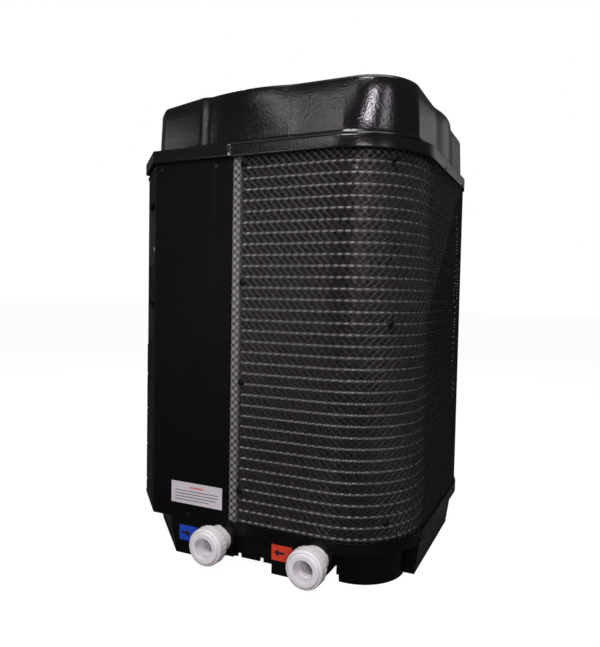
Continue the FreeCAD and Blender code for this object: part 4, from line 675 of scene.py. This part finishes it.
union = {
    "front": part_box("union_nut_inlet")[0].y,
    "tip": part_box("union_tail_inlet")[0].y,
    "nutRadius": 0.048,
    "nutLength": 0.032,
    "nutBore": 0.0409,
    "thread": 0.044,
    "shoulder": 0.005,                # thickness of the nut's front
    "nutBevel": 0.0045,
    "nutLead": 0.0012,                # the nut widens by this much after its bevel
    "nutRear": (0.004, 0.001),        # length and height of the bevel at its back
    "nutRounding": (0.0008, 0.003, 0.003, 0.001, 0.0008, 0.0005, 0.0005, 0.0005),
    "nutSides": 288,
    "grips": 24,
    "gripDepth": 0.0008,
    "gripStart": 0.007,               # from the front, then a run to full depth
    "gripRun": 0.003,
    "gripBand": 0.0025,               # ribs lie on no more than this outer layer
    "gripWave": (1.6, 0.9),           # height and drop of their cosine, cut off at 0 and -1
    "tailRadius": 0.0405,
    "tipBevel": 0.0030,
    "tipLead": (0.0022, 0.0004),
    "socket": 0.02515,
    "socketEdge": (0.0012, 0.0006),
    "socketDepth": 0.027,
    "bore": 0.0236,
    "flange": 0.0432,
    "flangeAt": (0.0003, 0.0057),     # its two faces, behind the nut's shoulder
    "sleeve": 0.030,
    "tailRounding": (0.0006, 0.0026, 0.0030) + (0.0009,) * 9,
    "tailSides": 128,
    "roundSteps": 5,
}


def unionCentre(node):
    low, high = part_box(node)
    return (low.x + high.x) / 2, (low.z + high.z) / 2


# Nut: rounded front shoulder, grip band of shallow ribs, thread bore behind. The ribs are a
# cosine of the angle, cut off at the nut's own radius.
def unionNut(side):
    x, z = unionCentre("union_nut_" + side)
    r, back, bevel = union["nutRadius"], union["nutLength"], union["nutBevel"]
    bore, thread, shoulder = union["nutBore"], union["thread"], union["shoulder"]
    run, drop = union["nutRear"]
    corners = [(0, bore), (0, r - bevel), (bevel, r - union["nutLead"]), (back - run, r),
               (back, r - drop), (back, thread), (shoulder, thread), (shoulder, bore)]
    profile = softCorners(corners, union["nutRounding"], union["roundSteps"])

    def ribs(angle, along, radius):
        outside = radius > r - union["gripBand"]
        band = np.clip((along - union["gripStart"]) / union["gripRun"], 0, 1) * outside
        tall, low = union["gripWave"]
        rib = np.clip(tall * np.cos(union["grips"] * angle) - low, -1, 0)
        return radius + union["gripDepth"] * rib * band

    piece = turned("union_nut_shell_" + side, profile, (x, union["front"], z), (0, 1, 0),
                   union["nutSides"], ribs)
    return dress(piece, side + "_nut", "white_pvc", "union_nut_" + side)


# Tail: rounded tip, pipe socket with a stop, flange behind the nut's shoulder, sleeve.
def unionTail(side):
    x, z = unionCentre("union_tail_" + side)
    start = union["tip"]
    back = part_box("union_tail_" + side)[1].y - start
    shoulder = union["front"] + union["shoulder"] - start
    front, rear = (shoulder + gap for gap in union["flangeAt"])
    r, socket, depth = union["tailRadius"], union["socket"], union["socketDepth"]
    run, rise = union["tipLead"]
    edge, wider = union["socketEdge"]
    corners = [
        (0, socket + wider), (0, r - union["tipBevel"]), (run, r - rise), (front, r),
        (front, union["flange"]), (rear, union["flange"]), (rear, union["sleeve"]),
        (back, union["sleeve"]), (back, union["bore"]), (depth, union["bore"]),
        (depth, socket), (edge, socket),
    ]
    profile = softCorners(corners, union["tailRounding"], union["roundSteps"])
    piece = turned("union_tail_shell_" + side, profile, (x, start, z), (0, 1, 0),
                   union["tailSides"])
    return dress(piece, side + "_tail", "white_pvc", "union_tail_" + side)


for side in ("inlet", "outlet"):
    unionNut(side)
    unionTail(side)
print("unions")

# places on a label are shares of its width and height
label = {
    "proud": 0.00025,                 # metres that a mark stands off the label, and sinks in
    "rules": ((0.08, 0.92, 0.60), (0.08, 0.92, 0.46), (0.08, 0.88, 0.32), (0.08, 0.74, 0.18)),
    "heading": (0.36, 0.64, 0.78),    # left end, right end, height, as for the rules
    "ruleHeight": 0.035,
    "headingHeight": 0.085,
    "arrowHead": 0.45,                # its share of the arrow's length
    "arrowSpan": (0.24, 0.76),
    "arrowShaft": 0.16,
    "arrowIn": (0.62, 0.12),          # tip, tail
    "arrowOut": (0.12, 0.62),
}


# Thin plates on a label, from four-cornered outlines.
def labelMarks(name, node, outlines):
    low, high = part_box(node)
    outlines = np.asarray(outlines, float)
    across = low.x + outlines[..., 0] * (high.x - low.x)
    up = low.z + outlines[..., 1] * (high.z - low.z)
    layers = [np.stack([across, np.full(across.shape, y), up], -1)
              for y in (low.y - label["proud"], low.y + label["proud"])]
    return prisms(name, np.stack(layers, 1))


def bar(left, right, middle, height):
    low, high = middle - height / 2, middle + height / 2
    return [(left, low), (right, low), (right, high), (left, high)]


# Shaft and head of an arrow along the label's middle.
def arrow(tip, tail):
    neck = tip + (tail - tip) * label["arrowHead"]
    bottom, top = label["arrowSpan"]
    head = [(tip, 0.5), (neck, bottom), (neck, 0.5), (neck, top)]
    return [bar(*sorted((neck, tail)), 0.5, label["arrowShaft"]), head]


rules = [bar(*rule, label["ruleHeight"]) for rule in label["rules"]]
heading = [bar(*label["heading"], label["headingHeight"])]
marks = (
    ("label_rules", "label_panel", rules, "label_white", "label_ink"),
    ("label_heading", "label_panel", heading, "label_white", "red_ink"),
    ("arrow_in", "label_inlet", arrow(*label["arrowIn"]), "label_blue", "dark_ink"),
    ("arrow_out", "label_outlet", arrow(*label["arrowOut"]), "label_red", "dark_ink"),
)
for name, where, outlines, slot, ink in marks:
    dress(labelMarks(name, where, outlines), "root", slot, material=ink)
print("label marks")

studio = {
    "floorSize": 60,
    "floorPale": ((0.80, 0.80, 0.80), (0.83, 0.83, 0.83)),
    "floorGrey": (0.10, 0.10, 0.10, 1),     # what the object itself sees
    "floorRough": 0.9,
    "fibre": 40,                            # to the metre
    "glowShare": 0.90,
    "glow": 1.075,
    "room": 0.06,                           # the world's strength, save to the camera
}


# Light path, and 1 for rays from the camera, straight or through a window, 0 for all others.
def seenByCamera(nodes, links):
    path = nodes.new("ShaderNodeLightPath")
    seen = node(nodes, "ShaderNodeMath", operation="MAXIMUM")
    links.new(path.outputs["Is Camera Ray"], seen.inputs[0])
    links.new(path.outputs["Is Transmission Ray"], seen.inputs[1])
    return path, seen.outputs[0]


# Pale floor that the camera sees almost white, with the object's shadow on it. To the object
# itself it is a grey floor, so black faces near it stay black.
def studioFloor():
    material, nodes, links, shader = newMaterial("floor_paper")
    place = nodes.new("ShaderNodeTexCoord").outputs["Object"]
    path, seen = seenByCamera(nodes, links)
    fibre = noise(nodes, links, place, studio["fibre"])
    pale = blendColours(nodes, links, fibre, *studio["floorPale"])
    tone = node(nodes, "ShaderNodeMix", data_type="RGBA", A=studio["floorGrey"])
    links.new(pale, tone.inputs["B"])
    links.new(path.outputs["Is Camera Ray"], tone.inputs["Factor"])
    links.new(tone.outputs["Result"], shader.inputs["Base Color"])
    shader.inputs["Roughness"].default_value = studio["floorRough"]
    shader.inputs["Specular IOR Level"].default_value = 0.0
    share = node(nodes, "ShaderNodeMath", operation="MULTIPLY")
    share.inputs[1].default_value = studio["glowShare"]
    links.new(seen, share.inputs[0])
    glow = node(nodes, "ShaderNodeEmission", Strength=studio["glow"])
    mixed = nodes.new("ShaderNodeMixShader")
    links.new(share.outputs[0], mixed.inputs["Fac"])
    links.new(shader.outputs["BSDF"], mixed.inputs[1])
    links.new(glow.outputs["Emission"], mixed.inputs[2])
    links.new(mixed.outputs["Shader"], nodes["Material Output"].inputs["Surface"])
    bpy.ops.mesh.primitive_plane_add(size=studio["floorSize"], location=(0, 0, 0))
    floor = bpy.context.object
    floor.name = "studio_floor"
    floor.data.materials.append(material)


# White backdrop to the camera and through the window, a dim room to everything else.
def studioWorld():
    world = bpy.data.worlds.new("studio")
    world.use_nodes = True
    bpy.context.scene.world = world
    nodes, links = world.node_tree.nodes, world.node_tree.links
    background = nodes["Background"]
    background.inputs["Color"].default_value = (1, 1, 1, 1)
    seen = seenByCamera(nodes, links)[1]
    strength = node(nodes, "ShaderNodeMapRange", **{"To Min": studio["room"], "To Max": 1.0})
    links.new(seen, strength.inputs["Value"])
    links.new(strength.outputs["Result"], background.inputs["Strength"])


# centre, the point it faces, width and height, watts, colour
lamps = {
    "key_box": ((0.6, -2.9, 3.3), (0.1, -0.4, 0.7), (1.1, 0.9), 66, (1.0, 0.96, 0.985)),
    "top_box": ((0.6, -0.6, 3.9), (0.1, -0.2, 0.9), (2.4, 2.4), 50, (1, 1, 1)),
    "front_box": ((-0.7, -3.1, 2.1), (0, -0.4, 1.05), (0.8, 0.6), 5.6, (1.0, 0.94, 1.0)),
    "low_box": ((-1.05, -2.8, 0.72), (0.0, -0.4, 0.6), (0.8, 0.9), 7, (1.0, 0.95, 0.99)),
    "left_box": ((-2.93, -1.24, 1.63), (-0.35, -0.35, 1.0), (0.7, 0.6), 2.6, (1.0, 0.94, 1.0)),
    "corner_box": ((1.69, -3.0, 1.28), (0.33, -0.33, 1.05), (0.5, 0.45), 34, (0.98, 0.90, 1.0)),
    "stripe_box": ((2.82, -2.0, 1.28), (0.33, -0.33, 1.05), (0.25, 0.7), 8, (0.98, 0.92, 1.0)),
    "back_box": ((1.45, 2.8, 1.3), (0.4, 0.1, 0.9), (1.2, 1.8), 2.6, (1, 1, 1)),
    "rear_box": ((-1.5, 3.1, 2.5), (0, 0.3, 0.6), (1.6, 1.2), 60, (1, 1, 1)),
}


def softBox(name, centre, target, size, watts, colour):
    light = bpy.data.lights.new(name, "AREA")
    light.shape = "RECTANGLE"
    light.size, light.size_y = size
    light.energy = watts
    light.color = colour
    lamp = bpy.data.objects.new(name, light)
    lamp.location = centre
    lamp.visible_camera = False
    lamp.rotation_euler = (Vector(target) - Vector(centre)).to_track_quat("-Z", "Y").to_euler()
    bpy.context.scene.collection.objects.link(lamp)


view = {
    "place": (0.7353, -1.7052, 0.6892),
    "yaw": 0.430,                     # radians
    "pitch": 0.045,
    "roll": 0.019,
    "lens": 33.36,                    # millimetres, on a sensor 36 wide
    "sensor": 36,
}


# From the front right, a little above half the object's height, tipped down and rolled a bit.
def camera():
    yaw, pitch, roll = view["yaw"], view["pitch"], view["roll"]
    level = math.cos(pitch)
    forward = Vector((-math.sin(yaw) * level, math.cos(yaw) * level, -math.sin(pitch)))
    right = Vector((math.cos(yaw), math.sin(yaw), 0))
    up = right.cross(forward)
    rightTurned = math.cos(roll) * right + math.sin(roll) * up
    upTurned = -math.sin(roll) * right + math.cos(roll) * up
    lens = bpy.data.cameras.new("front_view")
    lens.lens = view["lens"]
    lens.sensor_width = view["sensor"]
    eye = bpy.data.objects.new("front_view", lens)
    eye.matrix_world = Matrix((
        (rightTurned.x, upTurned.x, -forward.x, view["place"][0]),
        (rightTurned.y, upTurned.y, -forward.y, view["place"][1]),
        (rightTurned.z, upTurned.z, -forward.z, view["place"][2]),
        (0, 0, 0, 1),
    ))
    bpy.context.scene.collection.objects.link(eye)
    bpy.context.scene.camera = eye


studioFloor()
studioWorld()
for name, lamp in lamps.items():
    softBox(name, *lamp)
camera()
bpy.context.scene.view_settings.view_transform = "Standard"
print("studio", len(lamps), "lamps")
